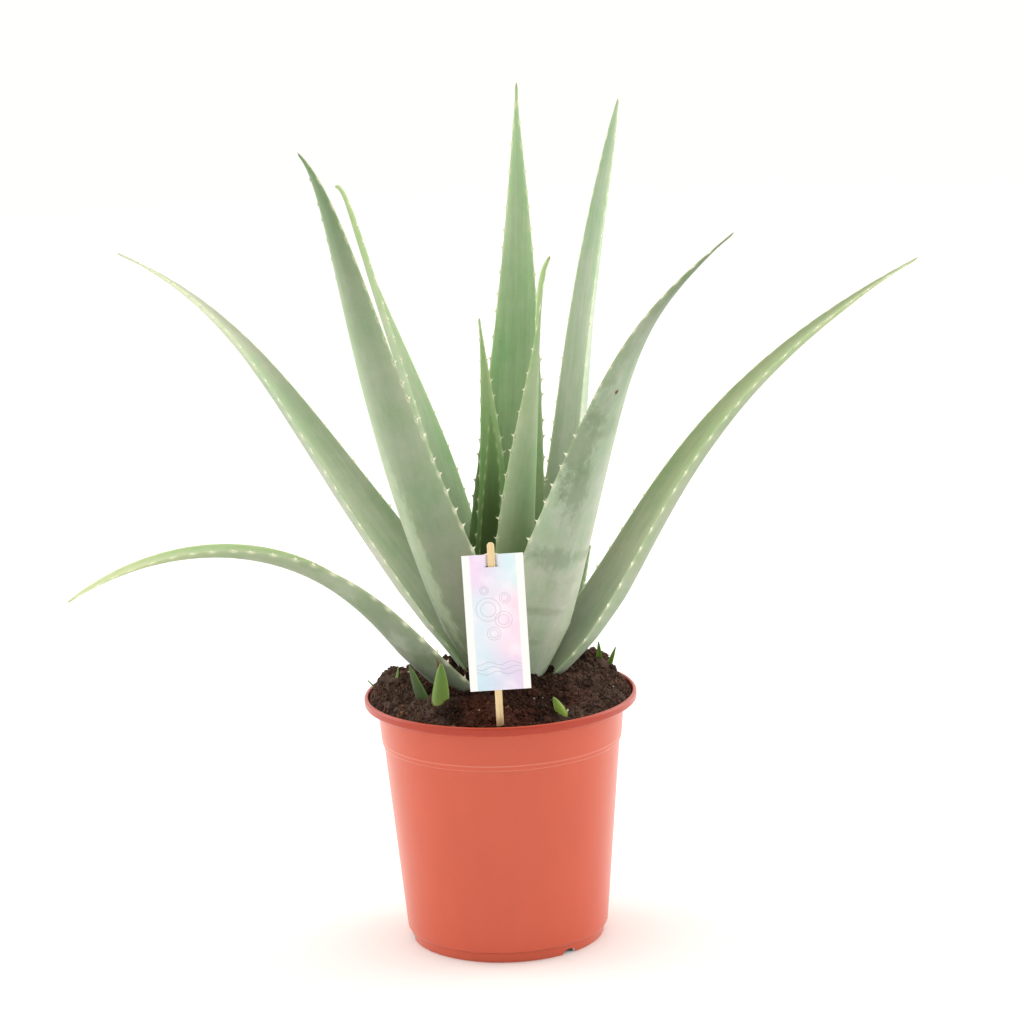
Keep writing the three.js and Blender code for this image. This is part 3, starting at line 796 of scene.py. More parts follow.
@dataclass(frozen=True)
class BambooFinish:
    """Split bamboo, its fibres running along the stick."""

    name: str = "stick_wood"
    pale: str = "ecd3a4"
    deep: str = "c99f66"
    damp: str = "8a6138"

    def make(self, effects: Effects) -> bpy.types.Material:
        """The material, on the places that the stick carries."""
        finish = Finish(self.name, Surface(specular=0.3, flesh=0.08, bump=0.4, bump_reach=0.0002))
        g = finish.graph
        x, y, z = g.attribute("stick_place").parts()
        fibre = g.noise(g.xyz(x * 3200.0, y * 3200.0, z * 55.0), 1.0, 3.0, 0.65)
        broad = g.noise(g.xyz(x * 600.0, y * 600.0, z * 20.0), 1.0, 2.0)
        colour = g.mix((g.ramp(fibre, 0.42, 0.72) * 0.55 + (broad - 0.5) * 0.5).at_least(0.0),
                       tone(self.pale), tone(self.deep))
        colour = g.mix(g.ramp(z, 10 * MM, 0.0) * 0.5, colour, tone(self.damp))
        out = g.group(effects.mottle(), {"Vector": g.xyz(x, y, z), "Colour": colour, "Scale": 90.0,
                                         "Amount": 0.07, "Gloss": 0.62, "Gloss change": 0.1})
        return finish.close(out["Colour"], out["Roughness"], fibre)


@dataclass(frozen=True)
class CardFinish:
    """Coated card, in millimetres: a pastel wash between white borders, with thin rings and waves.

    border is a share of the card's width, and tall is its height by its width.
    """

    half_width: float
    low: float
    top: float
    name: str = "label_card"
    tall: float = 2.34
    border: float = 0.125
    border_fade: float = 0.008
    ink: str = "a79fb2"
    paper: str = "f8f5f3"
    cloud: str = "fdf4fa"
    rings: tuple[Point, ...] = ((0.38, 0.60, 0.20), (0.62, 0.52, 0.14), (0.45, 0.42, 0.11),
                                (0.66, 0.68, 0.09), (0.33, 0.74, 0.07))
    inner_ring: float = 0.62
    waves: tuple[tuple[float, float], ...] = ((0.13, 0.0), (0.165, 1.1), (0.2, 2.2))

    def make(self, effects: Effects) -> bpy.types.Material:
        """The material, on the places that the card carries."""
        finish = Finish(self.name, Surface(specular=0.4, flesh=0.05, bump=0.05, bump_reach=0.00005))
        g = finish.graph
        x, front, z = g.attribute("card_place").parts()
        u = (x + self.half_width * MM) / (2 * self.half_width * MM)
        v = (z - self.low * MM) / ((self.top - self.low) * MM)
        wash = g.mix(g.ramp(u, 0.15, 0.85), tone("eed5ee"), tone("d4ecf2"))
        middle = g.mix(g.ramp(u, 0.2, 0.8), tone("dde8f2"), tone("fbdaea"))
        foot = g.mix(g.ramp(u, 0.15, 0.9), tone("cbe2ee"), tone("e2d0ea"))
        colour = g.mix(g.ramp(v, 0.85, 0.62), wash, middle)
        colour = g.mix(g.ramp(v, 0.38, 0.12), colour, foot)
        cloud = g.noise(g.xyz(u, v * 2.2, 0.0), 2.4, 2.0)
        colour = g.mix(g.ramp(cloud, 0.42, 0.7) * 0.5, colour, tone(self.cloud))

        lines = self._rings(g, u, v).at_least(self._waves(g, u, v))
        edge = 0.5 - self.border
        printed = g.ramp((u - 0.5).size(), edge + self.border_fade, edge - self.border_fade) * front
        colour = g.mix(lines * 0.5, colour, tone(self.ink))
        colour = g.mix(printed, tone(self.paper), colour)
        out = g.group(effects.mottle(), {"Vector": g.xyz(x, 0.0, z), "Colour": colour, "Scale": 60.0,
                                         "Amount": 0.015, "Gloss": 0.42, "Gloss change": 0.06,
                                         "Grain scale": 2500.0})
        return finish.close(out["Colour"], out["Roughness"], out["Height"])

    def _rings(self, g: Graph, u: Term, v: Term) -> Term:
        """Thin double rings, loosely spread over the middle of the card."""
        lines = []
        for middle, height, radius in self.rings:
            away = g.length(u - middle, (v - height) * self.tall)
            for share in (1.0, self.inner_ring):
                lines.append(g.ramp((away - radius * share).size(), 0.0085, 0.0025))
        return reduce(Term.at_least, lines)

    def _waves(self, g: Graph, u: Term, v: Term) -> Term:
        """Thin wavy lines across the foot of the card."""
        lines = []
        for height, phase in self.waves:
            swing = g.math("SINE", u * 17.0 + phase) * 0.012
            lines.append(g.ramp((v - height - swing).size(), 0.0042, 0.0012))
        return reduce(Term.at_least, lines)


# ---- leaves ----


@dataclass(frozen=True)
class BladeSize:
    """One blade, in millimetres and degrees: the same rule as the solid's.

    path is the root, three control points and the tip of a curve. half is the half width, which
    taper and swell shape along the blade and clasp narrows at the root. twist is at the root, the
    middle and the tip, and face is the azimuth of the back.
    """

    node: str
    path: tuple[Point, Point, Point, Point, Point]
    half: float
    taper: float
    swell: float
    face: float
    thick: float
    twist: Point = (0.0, 0.0, 0.0)
    clasp: float = 0.8
    blunt: float = 0.9
    tooth: float = 3.4
    pitch: float = 12.4
    bare: float = 0.09
    wave: float = 0.45
    rows: int = 300
    columns: int = 44
    finish: SkinFinish = field(kw_only=True)


@dataclass(frozen=True)
class Section:
    """Place, directions and sizes of a blade at one share of its length."""

    centre: Term
    normal: Term
    side: Term
    half: Term
    flesh: Term
    channel: Term


class BladeRule:
    """The geometry tree that grows one blade with its marginal teeth."""

    # Shares of the length: ends of the clasp, the thin sheath, the rounded point and the teeth.
    CLASP_END = 0.14
    SHEATH_END = 0.22
    BLUNT_END = 0.012
    LAST_TOOTH = 0.965
    # The section: share of its points on the back, depth of its channel, roundness of its back.
    BACK_SHARE = 0.58
    SHEATH_LEAST = 0.55
    CHANNEL = 0.28
    BACK_POWER = 2.3
    BACK_ROUND = 0.85
    UPRIGHT = (0.0, 0.0, 0.45)
    # The margin's outline: bumps under the teeth and shallow arches between them.
    BUMP_REACH = 2.1 * MM
    BUMP_RISE = 0.5 * MM
    ARCH_RISE = 0.3 * MM
    # The teeth: lengths in metres, and shares of the pitch or of a tooth's length.
    TOOTH_STRAY = 0.2
    TOOTH_LEAST = 0.01 * MM
    TOOTH_OUT = 0.15 * MM
    TOOTH_IN = 0.12
    TOOTH_SHRINK = 0.55
    TOOTH_RANGE = (0.85, 1.15)
    TOOTH_SUNK = 0.3
    TOOTH_HOOK = 0.62
    CONE_SIDES = 6
    CONE_STEPS = 3
    SPINE_POINTS = 201

    def __init__(self) -> None:
        """Builds the tree."""
        vectors = {name: (Kind.VECTOR, None) for name in ("Root", "Lower", "Middle", "Upper", "Tip",
                                                          "Twist", "Facing")}
        numbers = {name: (Kind.NUMBER, value) for name, value in {
            "Half width": 0.02, "Taper": 0.8, "Swell": 0.7, "Clasp": 0.8, "Thickness": 0.01,
            "Blunt": 0.0009, "Tooth": 0.0025, "Pitch": 0.0124, "Bare": 0.09,
            "Wave": 0.0004}.items()}
        counts = {name: (Kind.COUNT, value) for name, value in {
            "Rows": 300, "Columns": 44, "Seed": 1}.items()}
        self.g = Graph.new(TreeKind.GEOMETRY, "aloe blade", {
            "Geometry": (Kind.MESH, None), **vectors, **numbers, **counts,
            "Skin": (Kind.MATERIAL, None)}, {"Geometry": Kind.MESH})
        g, given = self.g, self.g.given
        self.spine, self.length = self._spine()
        whole = g.put("GeometryNodeJoinGeometry")
        for part in (self._teeth(), self._blade()):
            g.feed(whole.inputs[0], part)
        shaded = g.take("GeometryNodeSetShadeSmooth", {"Geometry": Term(g, whole.outputs[0])})
        g.end(shaded, given["Skin"])

    def _spine(self) -> tuple[Term, Term]:
        """The blade's curve and its length."""
        g, given = self.g, self.g.given
        line = g.take("GeometryNodeMeshLine", {"Count": self.SPINE_POINTS})
        t = g.take("GeometryNodeInputIndex") * (1.0 / (self.SPINE_POINTS - 1))
        b = 1.0 - t
        place = (given["Root"] * b ** 4 + given["Lower"] * (4.0 * b ** 3 * t)
                 + given["Middle"] * (6.0 * b ** 2 * t ** 2) + given["Upper"] * (4.0 * b * t ** 3)
                 + given["Tip"] * t ** 4)
        spine = g.take("GeometryNodeMeshToCurve", {"Mesh": g.moved(line, place)})
        return spine, g.take("GeometryNodeCurveLength", {"Curve": spine})

    def _section(self, s: Term) -> Section:
        """The blade at a share s of its length."""
        g, given = self.g, self.g.given
        node = g.put("GeometryNodeSampleCurve", {"Curves": self.spine, "Factor": s}, mode="FACTOR")
        centre, tangent = Term(g, node.outputs["Position"]), Term(g, node.outputs["Tangent"])
        lean = given["Facing"] * -0.9 + self.UPRIGHT
        flat = (lean - tangent * lean.dot(tangent)).unit()
        at_root, at_middle, at_tip = given["Twist"].parts()
        turn = (at_root * (1.0 - s) * (1.0 - 2.0 * s) + at_middle * 4.0 * s * (1.0 - s)
                + at_tip * s * (2.0 * s - 1.0))
        normal = g.take("ShaderNodeVectorRotate", {"Vector": flat, "Axis": tangent, "Angle": turn},
                        rotation_type="AXIS_ANGLE")
        side = tangent.cross(normal)
        left = (1.0 - s).at_least(0.0)
        clasp = given["Clasp"] + (1.0 - given["Clasp"]) * (s / self.CLASP_END).at_most(1.0)
        half = given["Half width"] * left ** given["Taper"] * (1.0 + given["Swell"] * s) * clasp
        half = half.at_least(given["Blunt"] * (left / self.BLUNT_END).at_most(1.0) ** 0.5)
        sheath = self.SHEATH_LEAST + (1.0 - self.SHEATH_LEAST) * (s / self.SHEATH_END).at_most(1.0)
        deep = (given["Thickness"] * left ** 0.75 * (1.0 - 0.1 * s)).at_least(given["Blunt"] * 1.2)
        return Section(centre, normal, side, half, flesh=deep.at_most(half * 1.3) * sheath,
                       channel=half * self.CHANNEL * left ** 0.6 * sheath)

    def _tooth_place(self, count: Term, margin: Term) -> Term:
        """Length along the blade of one margin's tooth, margin being 0 or 1."""
        g, given = self.g, self.g.given
        stray = g.chance(-self.TOOTH_STRAY, self.TOOTH_STRAY, given["Seed"], count * 2.0 + margin)
        return (count + 0.5 + stray) * given["Pitch"]

    def _blade(self) -> Term:
        """The blade's skin, one closed tube from root to tip."""
        g, given = self.g, self.g.given
        sheet = g.take("GeometryNodeMeshGrid", {"Size X": 1.0, "Size Y": 1.0,
                                                "Vertices X": given["Columns"] + 1,
                                                "Vertices Y": given["Rows"] + 1})
        flat_x, flat_y, _ = g.place().parts()
        a, b = flat_x + 0.5, flat_y + 0.5
        steps = b * given["Rows"]
        opened = steps.limited()
        s = ((steps - 1.0) / (given["Rows"] - 1.0)).limited()
        at = self._section(s)

        inner = g.math("GREATER_THAN", a, self.BACK_SHARE + 1e-4)
        back_turn = a * (math.pi / self.BACK_SHARE)
        inner_turn = (a - self.BACK_SHARE) * (math.pi / (1.0 - self.BACK_SHARE))
        u = inner * g.math("COSINE", inner_turn) - g.math("COSINE", back_turn) * (1.0 - inner)
        share = u.size().at_most(1.0)
        back_arch = (1.0 - share ** self.BACK_POWER).at_least(0.0) ** self.BACK_ROUND
        back_depth = -(at.channel + at.flesh) * back_arch
        inner_depth = -at.channel * (1.0 - share * share)
        depth = back_depth * (1.0 - inner) + inner_depth * inner

        along = s * self.length
        margin = g.math("GREATER_THAN", u, 0.0)
        count = g.math("FLOOR", along / given["Pitch"])
        away = (along - self._tooth_place(count, margin)).size()
        toothed = g.math("GREATER_THAN", along, self.length * given["Bare"] - given["Pitch"] * 0.5)
        toothed = toothed * g.math("GREATER_THAN", given["Tooth"], self.TOOTH_LEAST)
        toothed = toothed * g.ramp(s, 0.985, 0.96)
        bump = g.math("EXPONENT", -(away / self.BUMP_REACH) ** 2.0) * toothed
        arch = g.math("COSINE", away * (2.0 * math.pi) / given["Pitch"]) * 0.5 + 0.5
        scallop = bump * self.BUMP_RISE + arch * self.ARCH_RISE * toothed
        scallop = scallop * share ** 10.0 * (1.0 - s * 0.6)

        swell = g.noise(at.centre + at.side * (u * at.half), 26.0, 2.0) - 0.5
        ripple = g.noise(g.xyz(u * 3.4, along * 14.0, given["Seed"]), 1.0, 2.0) - 0.5
        lift = (swell + ripple * 1.2) * given["Wave"] * (1.0 - share ** 4.0) * g.ramp(s, 1.0, 0.85)
        sign = g.math("SIGN", u)
        out = at.side * (u * at.half + sign * scallop)
        up = at.normal * (depth + lift)
        place = at.centre + (out + up) * opened

        sheet = g.store(sheet, "blade_place", g.xyz(u * at.half, along, s))
        sheet = g.store(sheet, "blade_zone", g.xyz(inner, (1.0 - share) * at.half, bump))
        return g.take("GeometryNodeMergeByDistance", {"Geometry": g.moved(sheet, place),
                                                      "Distance": WELD})

    def _teeth(self) -> Term:
        """Small horny teeth along both margins, hooked towards the tip."""
        g, given = self.g, self.g.given
        each_side = g.math("FLOOR", self.length / given["Pitch"])
        line = g.take("GeometryNodeMeshLine", {"Count": each_side * 2.0})
        index = g.take("GeometryNodeInputIndex")
        count = g.math("FLOOR", index * 0.5)
        margin = index - count * 2.0
        along = self._tooth_place(count, margin)
        s = (along / self.length).at_most(1.0)
        at = self._section(s)
        outward = at.side * (margin * 2.0 - 1.0)
        rising = outward * 0.8 + at.normal * 0.6
        upward = (at.normal * 0.8 - outward * 0.6) * (margin * 2.0 - 1.0)
        place = (at.centre + outward * (at.half + self.TOOTH_OUT)
                 - at.normal * (given["Tooth"] * self.TOOTH_IN))
        points = g.moved(line, place)
        shown = (g.math("GREATER_THAN", s, given["Bare"]) * g.math("LESS_THAN", s, self.LAST_TOOTH)
                 * g.math("GREATER_THAN", given["Tooth"], self.TOOTH_LEAST))
        turn = g.take("FunctionNodeAxesToRotation", {"Primary Axis": upward, "Secondary Axis": rising},
                      primary_axis="Z", secondary_axis="X")
        scale = given["Tooth"] * (1.0 - self.TOOTH_SHRINK * s)
        scale = scale * g.chance(*self.TOOTH_RANGE, given["Seed"] + 5, index)
        spread = g.take("GeometryNodeInstanceOnPoints", {
            "Points": points, "Selection": shown, "Instance": self._one_tooth(), "Rotation": turn,
            "Scale": scale})
        return g.take("GeometryNodeRealizeInstances", {"Geometry": spread})

    def _one_tooth(self) -> Term:
        """A tooth of length 1 along X, with its root sunk in and its point bent to +Y."""
        g = self.g
        cone = g.take("GeometryNodeMeshCone", {"Vertices": self.CONE_SIDES,
                                               "Side Segments": self.CONE_STEPS, "Radius Top": 0.0,
                                               "Radius Bottom": 1.0, "Depth": 1.0})
        x, y, z = g.place().parts()
        narrow = (1.0 - z).at_least(0.0) ** 0.5
        flat = x * narrow * g.ramp(z, 0.0, 0.4, 0.09, 0.26)
        bent = g.xyz(z * (1.0 + self.TOOTH_SUNK) - self.TOOTH_SUNK,
                     y * 0.8 * narrow + z * z * self.TOOTH_HOOK, flat)
        cone = g.store(cone, "tooth_height", z, "FLOAT")
        return g.moved(cone, bent)


class Rosette:
    """The aloe's leaves, shoots and one withered leaf, and the skin of its stem."""

    LEAF_SEED = 11
    SHOOT_SEED = 71

    def __init__(self, effects: Effects) -> None:
        """Keeps the shared effects and builds the blades' tree."""
        self.effects = effects
        self.rule = BladeRule()

    def blade(self, size: BladeSize, seed: int, slot: str) -> None:
        """Grows one blade in place of its node.

        Args:
            size: The blade's sizes.
            seed: Seed of its teeth and ripples.
            slot: Not used.
        """
        piece = mesh_object(f"{size.node}_skin", [], [])
        root, lower, middle, upper, tip = millimetres(size.path)
        face = math.radians(size.face)
        grow(piece, self.rule.g.tree, {
            "Root": root, "Lower": lower, "Middle": middle, "Upper": upper, "Tip": tip,
            "Twist": tuple(math.radians(t) for t in size.twist),
            "Facing": (math.cos(face), math.sin(face), 0.0),
            "Half width": size.half * MM, "Taper": size.taper, "Swell": size.swell,
            "Clasp": size.clasp, "Thickness": size.thick * MM, "Blunt": size.blunt * MM,
            "Tooth": size.tooth * MM, "Pitch": size.pitch * MM, "Bare": size.bare,
            "Wave": size.wave * MM, "Rows": size.rows, "Columns": size.columns, "Seed": seed,
            "Skin": size.finish.make(self.effects),
        })
        face_out(piece)
        hand_over(piece, slot, size.node)

    def build(self) -> None:
        """Grows every blade and gives the stem its skin."""
        for number, leaf in enumerate(LEAVES):
            self.blade(leaf, self.LEAF_SEED + number, "leaf_flesh")
        for number, shoot in enumerate(SHOOTS):
            slot = "dry_leaf" if shoot.node == "withered_leaf" else "shoot_flesh"
            self.blade(shoot.blade(), self.SHOOT_SEED + number, slot)
        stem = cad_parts["stem"]
        stem.data.materials.clear()
        stem.data.materials.append(self._stem_skin())

    def _stem_skin(self) -> bpy.types.Material:
        """Pale fleshy stem with faint leaf scars."""
        finish = Finish("stem_flesh", Surface(specular=0.35, flesh=0.1))
        g = finish.graph
        place = finish.object_place()
        z = place.parts()[2]
        rings = g.math("SINE", z * 1400.0) * 0.5 + 0.5
        out = g.group(self.effects.mottle(), {"Vector": place, "Colour": tone("b9bf8c"), "Scale": 120.0,
                                              "Amount": 0.18, "Gloss": 0.6, "Gloss change": 0.1})
        colour = g.mix(rings * 0.35, out["Colour"], tone("8f7a4e"))
        return finish.close(colour, out["Roughness"], rings)


@dataclass(frozen=True)
class ShootSize:
    """One young shoot, in millimetres: root below the soil, tip, and the same rule as a leaf.

    bow is how far its middle bends towards its back.
    """

    node: str
    root: Point
    tip: Point
    half: float
    thick: float
    face: float
    bow: float
    finish: SkinFinish

    def blade(self) -> BladeSize:
        """The shoot as a blade without teeth."""
        root, tip = Vector(self.root), Vector(self.tip)
        face = math.radians(self.face)
        back = Vector((math.cos(face), math.sin(face), 0.0))
        path = tuple(tuple(root.lerp(tip, f) + back * (self.bow * math.sin(math.pi * f)))
                     for f in (0.0, 0.25, 0.5, 0.75, 1.0))
        return BladeSize(self.node, path, half=self.half, taper=0.7, swell=0.9, face=self.face,
                         thick=self.thick, blunt=0.5, tooth=0.0, wave=0.12, rows=70, columns=32,
                         finish=self.finish)


LEAVES = (
    BladeSize(
        "leaf_heart",
        ((-1, 2, 165), (-6, 2.5, 207), (-5.5, 3.5, 248), (2, 4, 289), (-0.5, 5, 330.5)),
        half=8.8, taper=0.67, swell=0.66, face=100, thick=4.5, twist=(20, 19, 6), tooth=0.9, pitch=9.5,
        wave=0.2,
        finish=SkinFinish("skin_heart", back=("56643f", "808b63", "86a06c"),
                          inner=("4b5a34", "66784c", "86a06c"), margin="8fa274", tooth="c6cf9c",
                          bloom=0.1, scars=0.1, limb=0.4, seed=2.0)),
    BladeSize(
        "leaf_inner_front",
        ((7.5, -4, 164), (5, -9.5, 288.5), (34.5, -15.5, 360.5), (25, -22.5, 412), (38.5, -30, 432.5)),
        half=19.8, taper=0.73, swell=0.8, face=-60, thick=8.3, twist=(33, 27, 87), pitch=13.0,
        finish=SkinFinish("skin_inner_front", back=("8fa372", "b7c9a2", "8fa86a"),
                          inner=("6f8a54", "84a06c", "8fa86a"), dry_tip=0.7, lean=-0.28, seed=3.0)),
    BladeSize(
        "leaf_inner_back",
        ((-4, 7, 164), (-3, 12, 221), (4, 18.5, 274), (-1.5, 25, 328), (-5, 32, 387.5)),
        half=16.1, taper=0.9, swell=0.6, face=120, thick=6.2, twist=(-2, 6, 35), pitch=12.0,
        finish=SkinFinish("skin_inner_back", back=("7e9263", "a2b588", "a0b882"),
                          inner=("6a8650", "9ab87e", "a0b882"), seed=4.0)),
    BladeSize(
        "leaf_back",
        ((3, 16, 162), (6, 29, 280), (24, 45, 377.5), (20, 62, 454.5), (23, 80, 528)),
        half=29.6, taper=1.1, swell=0.36, face=90, thick=10, twist=(1, 0, -1), pitch=13.0,
        finish=SkinFinish("skin_back", back=("7e9263", "90a878", "a0b882"),
                          inner=("90a974", "9bb687", "a4be92"), streaks=0.3, bloom=0.7, seed=5.0)),
    BladeSize(
        "leaf_back_right",
        ((13, 12, 162), (51.5, 23, 279.5), (44, 36.5, 357), (63.5, 51, 415), (85.5, 66, 517)),
        half=22.6, taper=0.74, swell=0.74, face=42, thick=11.8, twist=(-2, -21, -8), pitch=13.0,
        finish=SkinFinish("skin_back_right", back=("9aa38c", "b6c0ab", "90a67f"),
                          inner=("8c9d7a", "a4b394", "94a884"), lean=0.18, seed=6.0)),
    BladeSize(
        "leaf_back_left",
        ((-10, 12, 162), (0.5, 24, 280.5), (-77, 39, 387), (-80.5, 55, 475), (-92.5, 72, 467)),
        half=20.9, taper=0.69, swell=0.72, face=138, thick=11.3, twist=(29, 27, 64), pitch=12.6,
        finish=SkinFinish("skin_back_left", back=("90987d", "9cae8d", "93aa70"),
                          inner=("7e9866", "94ac7c", "93aa70"), seed=7.0)),
    BladeSize(
        "leaf_front_left",
        ((-5, -13, 160), (11.5, -28, 186), (-70.5, -46, 283.5), (-74.5, -65.5, 466.5),
         (-106, -86, 504.5)),
        half=27.1, taper=0.79, swell=0.7, face=225, thick=12.4, twist=(11, 1, -9), clasp=0.5, pitch=12.6,
        finish=SkinFinish("skin_front_left", back=("7c866b", "9cac8b", "728c62"),
                          inner=("76905c", "8ca572", "728c62"), lean=0.3, seed=8.0,
                          # A long pale band on the left of the back, painted as a highlight.
                          marks=(Mark(6, 105, 8, 85, "c0ccae", 0.45),))),
    BladeSize(
        "leaf_front_right",
        ((7.5, -13, 161), (48, -30.5, 293), (78, -52, 371.5), (73, -75.5, 394), (143, -100, 452)),
        half=30.9, taper=0.87, swell=0.72, face=-48, thick=12.5, twist=(-16, 11, 31), clasp=0.54,
        pitch=12.6,
        finish=SkinFinish("skin_front_right", back=("b8beaa", "a9b99e", "687b59"),
                          inner=("76905c", "8ca572", "687b59"), wiped=0.5, bands=0.2, lean=-0.2,
                          seed=9.0,
                          marks=(Mark(13, 98, 18, 9, "7a8a6e", 0.6),
                                 Mark(-8, 99, 16, 5, "879679", 0.5),
                                 Mark(9, 62, 19, 4, "869478", 0.6),
                                 Mark(10, 40, 12, 3, "869478", 0.6),
                                 Mark(15, 203, 10, 22, "6c7e5c", 0.34),
                                 Mark(19, 176, 12, 34, "6c7e5c", 0.62),
                                 Mark(13, 147, 10, 24, "6e7f60", 0.6),
                                 Mark(20, 236, 12, 34, "768868", 0.45),
                                 Mark(4, 188, 8, 10, "7f9072", 0.5),
                                 Mark(-14, 150, 12, 40, "c3ccbc", 0.35),
                                 Mark(7.5, 214, 1.7, 1.9, "5e2012", 1.0)))),
    BladeSize(
        "leaf_left",
        ((-9, 3, 160), (-22.5, 22.5, 219.5), (-118, 46.5, 278.5), (-115.5, 72.5, 378),
         (-234.5, 100, 427)),
        half=25.5, taper=0.83, swell=0.76, face=162, thick=12.1, twist=(-9, -2, 23), clasp=0.5,
        pitch=13.4,
        finish=SkinFinish("skin_left", back=("8c967e", "8c9580", "b0b898"),
                          inner=("8c9e74", "95a57d", "b6be9c"), lean=-0.34, seed=10.0)),
    BladeSize(
        "leaf_right",
        ((14.5, 1, 160), (81, 9, 218), (93.5, 18.5, 287), (150.5, 29, 355.5), (268, 40, 415)),
        half=25, taper=0.85, swell=0.58, face=18, thick=12.1, twist=(1, -6, -16), clasp=0.65, pitch=13.4,
        finish=SkinFinish("skin_right", back=("7e8971", "7e896d", "8d9b69"),
                          inner=("a2b08b", "8fa269", "8d9b69"), lean=0.42, seed=11.0)),
    BladeSize(
        "leaf_small_back",
        ((36, 26, 158), (41, 33, 180), (50, 39, 200), (55, 43, 219), (60, 45, 238)),
        half=7, taper=0.8, swell=0.5, face=40, thick=4, tooth=1.4, pitch=8.0, wave=0.2,
        finish=SkinFinish("skin_small_back", back=("7f9c6a", "7f9c6a", "8fa876"),
                          inner=("7f9c6a", "7f9c6a", "8fa876"), seed=12.0)),
    BladeSize(
        "leaf_left_low",
        ((-4.5, -21, 153), (-66.5, -29, 197.5), (-59, -36, 247), (-158.5, -35, 302), (-262, -34, 231)),
        half=17.4, taper=0.72, swell=0.36, face=255, thick=12, twist=(-36, -51, -94), clasp=0.96,
        pitch=12.6,
        finish=SkinFinish("skin_left_low", back=("737e68", "909d7f", "a8b880"),
                          inner=("7d965f", "9bb076", "b4c088"), bloom=0.75, seed=13.0,
                          marks=(Mark(-11, 57, 6, 8, "54643f", 0.6),
                                 Mark(-8, 76, 5, 9, "b4bdaa", 0.3),
                                 Mark(-12, 99, 5, 13, "6c7b5d", 0.25),
                                 Mark(-9, 122, 4, 11, "b2bca8", 0.3),
                                 Mark(-13, 150, 4, 14, "7c8c6b", 0.4)))),
)

YOUNG = SkinFinish("skin_shoot", back=("a8ae52", "64802a", "5e8030"),
                   inner=("a8ae52", "6e9034", "5e8030"), margin="8fae58",
                   bloom=0.15, wiped=0.0, bands=0.0, scars=0.0, seed=20.0)
YOUNG_PALE = SkinFinish("skin_shoot_pale", back=("c6c87a", "8aa634", "7a9634"),
                        inner=("c6c87a", "8aa634", "7a9634"), margin="a9b868",
                        bloom=0.15, wiped=0.0, bands=0.0, scars=0.0, seed=24.0)
YOUNG_DARK = SkinFinish("skin_shoot_dark", back=("5c6c2c", "324a0c", "3a5414"),
                        inner=("5c6c2c", "3e5a16", "3c5818"), margin="7a9c50",
                        bloom=0.15, wiped=0.0, bands=0.0, scars=0.0, seed=21.0)
WITHERED = SkinFinish("dry_leaf", back=("7a4a2c", "8a5634", "5f351f"),
                      inner=("8a5a36", "9a6840", "5f351f"), margin="9b6a40", tooth="9b6a40",
                      scar="3f2416", bloom=0.5, streaks=0.6, wiped=0.0, bands=0.0, scars=0.8,
                      sheen=0.0, seed=22.0)

# Node, root, tip, half width, thickness, azimuth of the back, bow and finish of each shoot.
SHOOTS = (
    ShootSize("shoot_front_left", (-38, -50, 150), (-35.3, -50, 189.3), 6.1, 5, 250, -1.5, YOUNG),
    ShootSize("shoot_left", (-41, -39, 150), (-55.1, -38, 185.6), 6.4, 4, 225, 1, YOUNG_DARK),
    ShootSize("shoot_left_back", (-66.5, -3, 153), (-62.7, -3, 175.3), 2.6, 2.4, 200, 0, YOUNG),
    ShootSize("shoot_rim_left", (-69.5, 5, 151), (-82.5, 5, 165.5), 2.4, 2.4, 180, 0, YOUNG),
    ShootSize("shoot_front_right", (42.5, -50, 143), (32, -47, 164.8), 4.2, 3.6, 290, 0, YOUNG_PALE),
    ShootSize("shoot_back_right", (63.5, 25, 152), (62.9, 24, 180.3), 2.6, 2.6, 65, 0, YOUNG),
    ShootSize("shoot_right", (63.5, 24, 150), (73.6, 24, 176.4), 2.4, 2.4, 60, 0, YOUNG),
    ShootSize("withered_leaf", (-34, -43, 152), (-37.8, -45, 191.3), 2.6, 1.4, 235, 0, WITHERED),
)


# ---- pot ----


def rounded(outline: Sequence[Point], steps: int = 5, most: float = 0.45) -> Outline:
    """Outline with its corners rounded.

    Args:
        outline: r, z and corner radius of each corner; a radius of 0 keeps the corner.
        steps: Points in each rounded corner, less one.
        most: Largest share of a side that one corner takes.

    Returns:
        The points.
    """
    points: Outline = []
    for i, (r, z, radius) in enumerate(outline):
        corner = Vector((r, z))
        if radius <= 0 or i in (0, len(outline) - 1):
            points.append((r, z))
            continue
        before = Vector(outline[i - 1][:2]) - corner
        after = Vector(outline[i + 1][:2]) - corner
        reach = min(radius, most * before.length, most * after.length)
        start, end = corner + before.normalized() * reach, corner + after.normalized() * reach
        for k in range(steps + 1):
            t = k / steps
            points.append(tuple(start.lerp(corner, t).lerp(corner.lerp(end, t), t)))
    return points


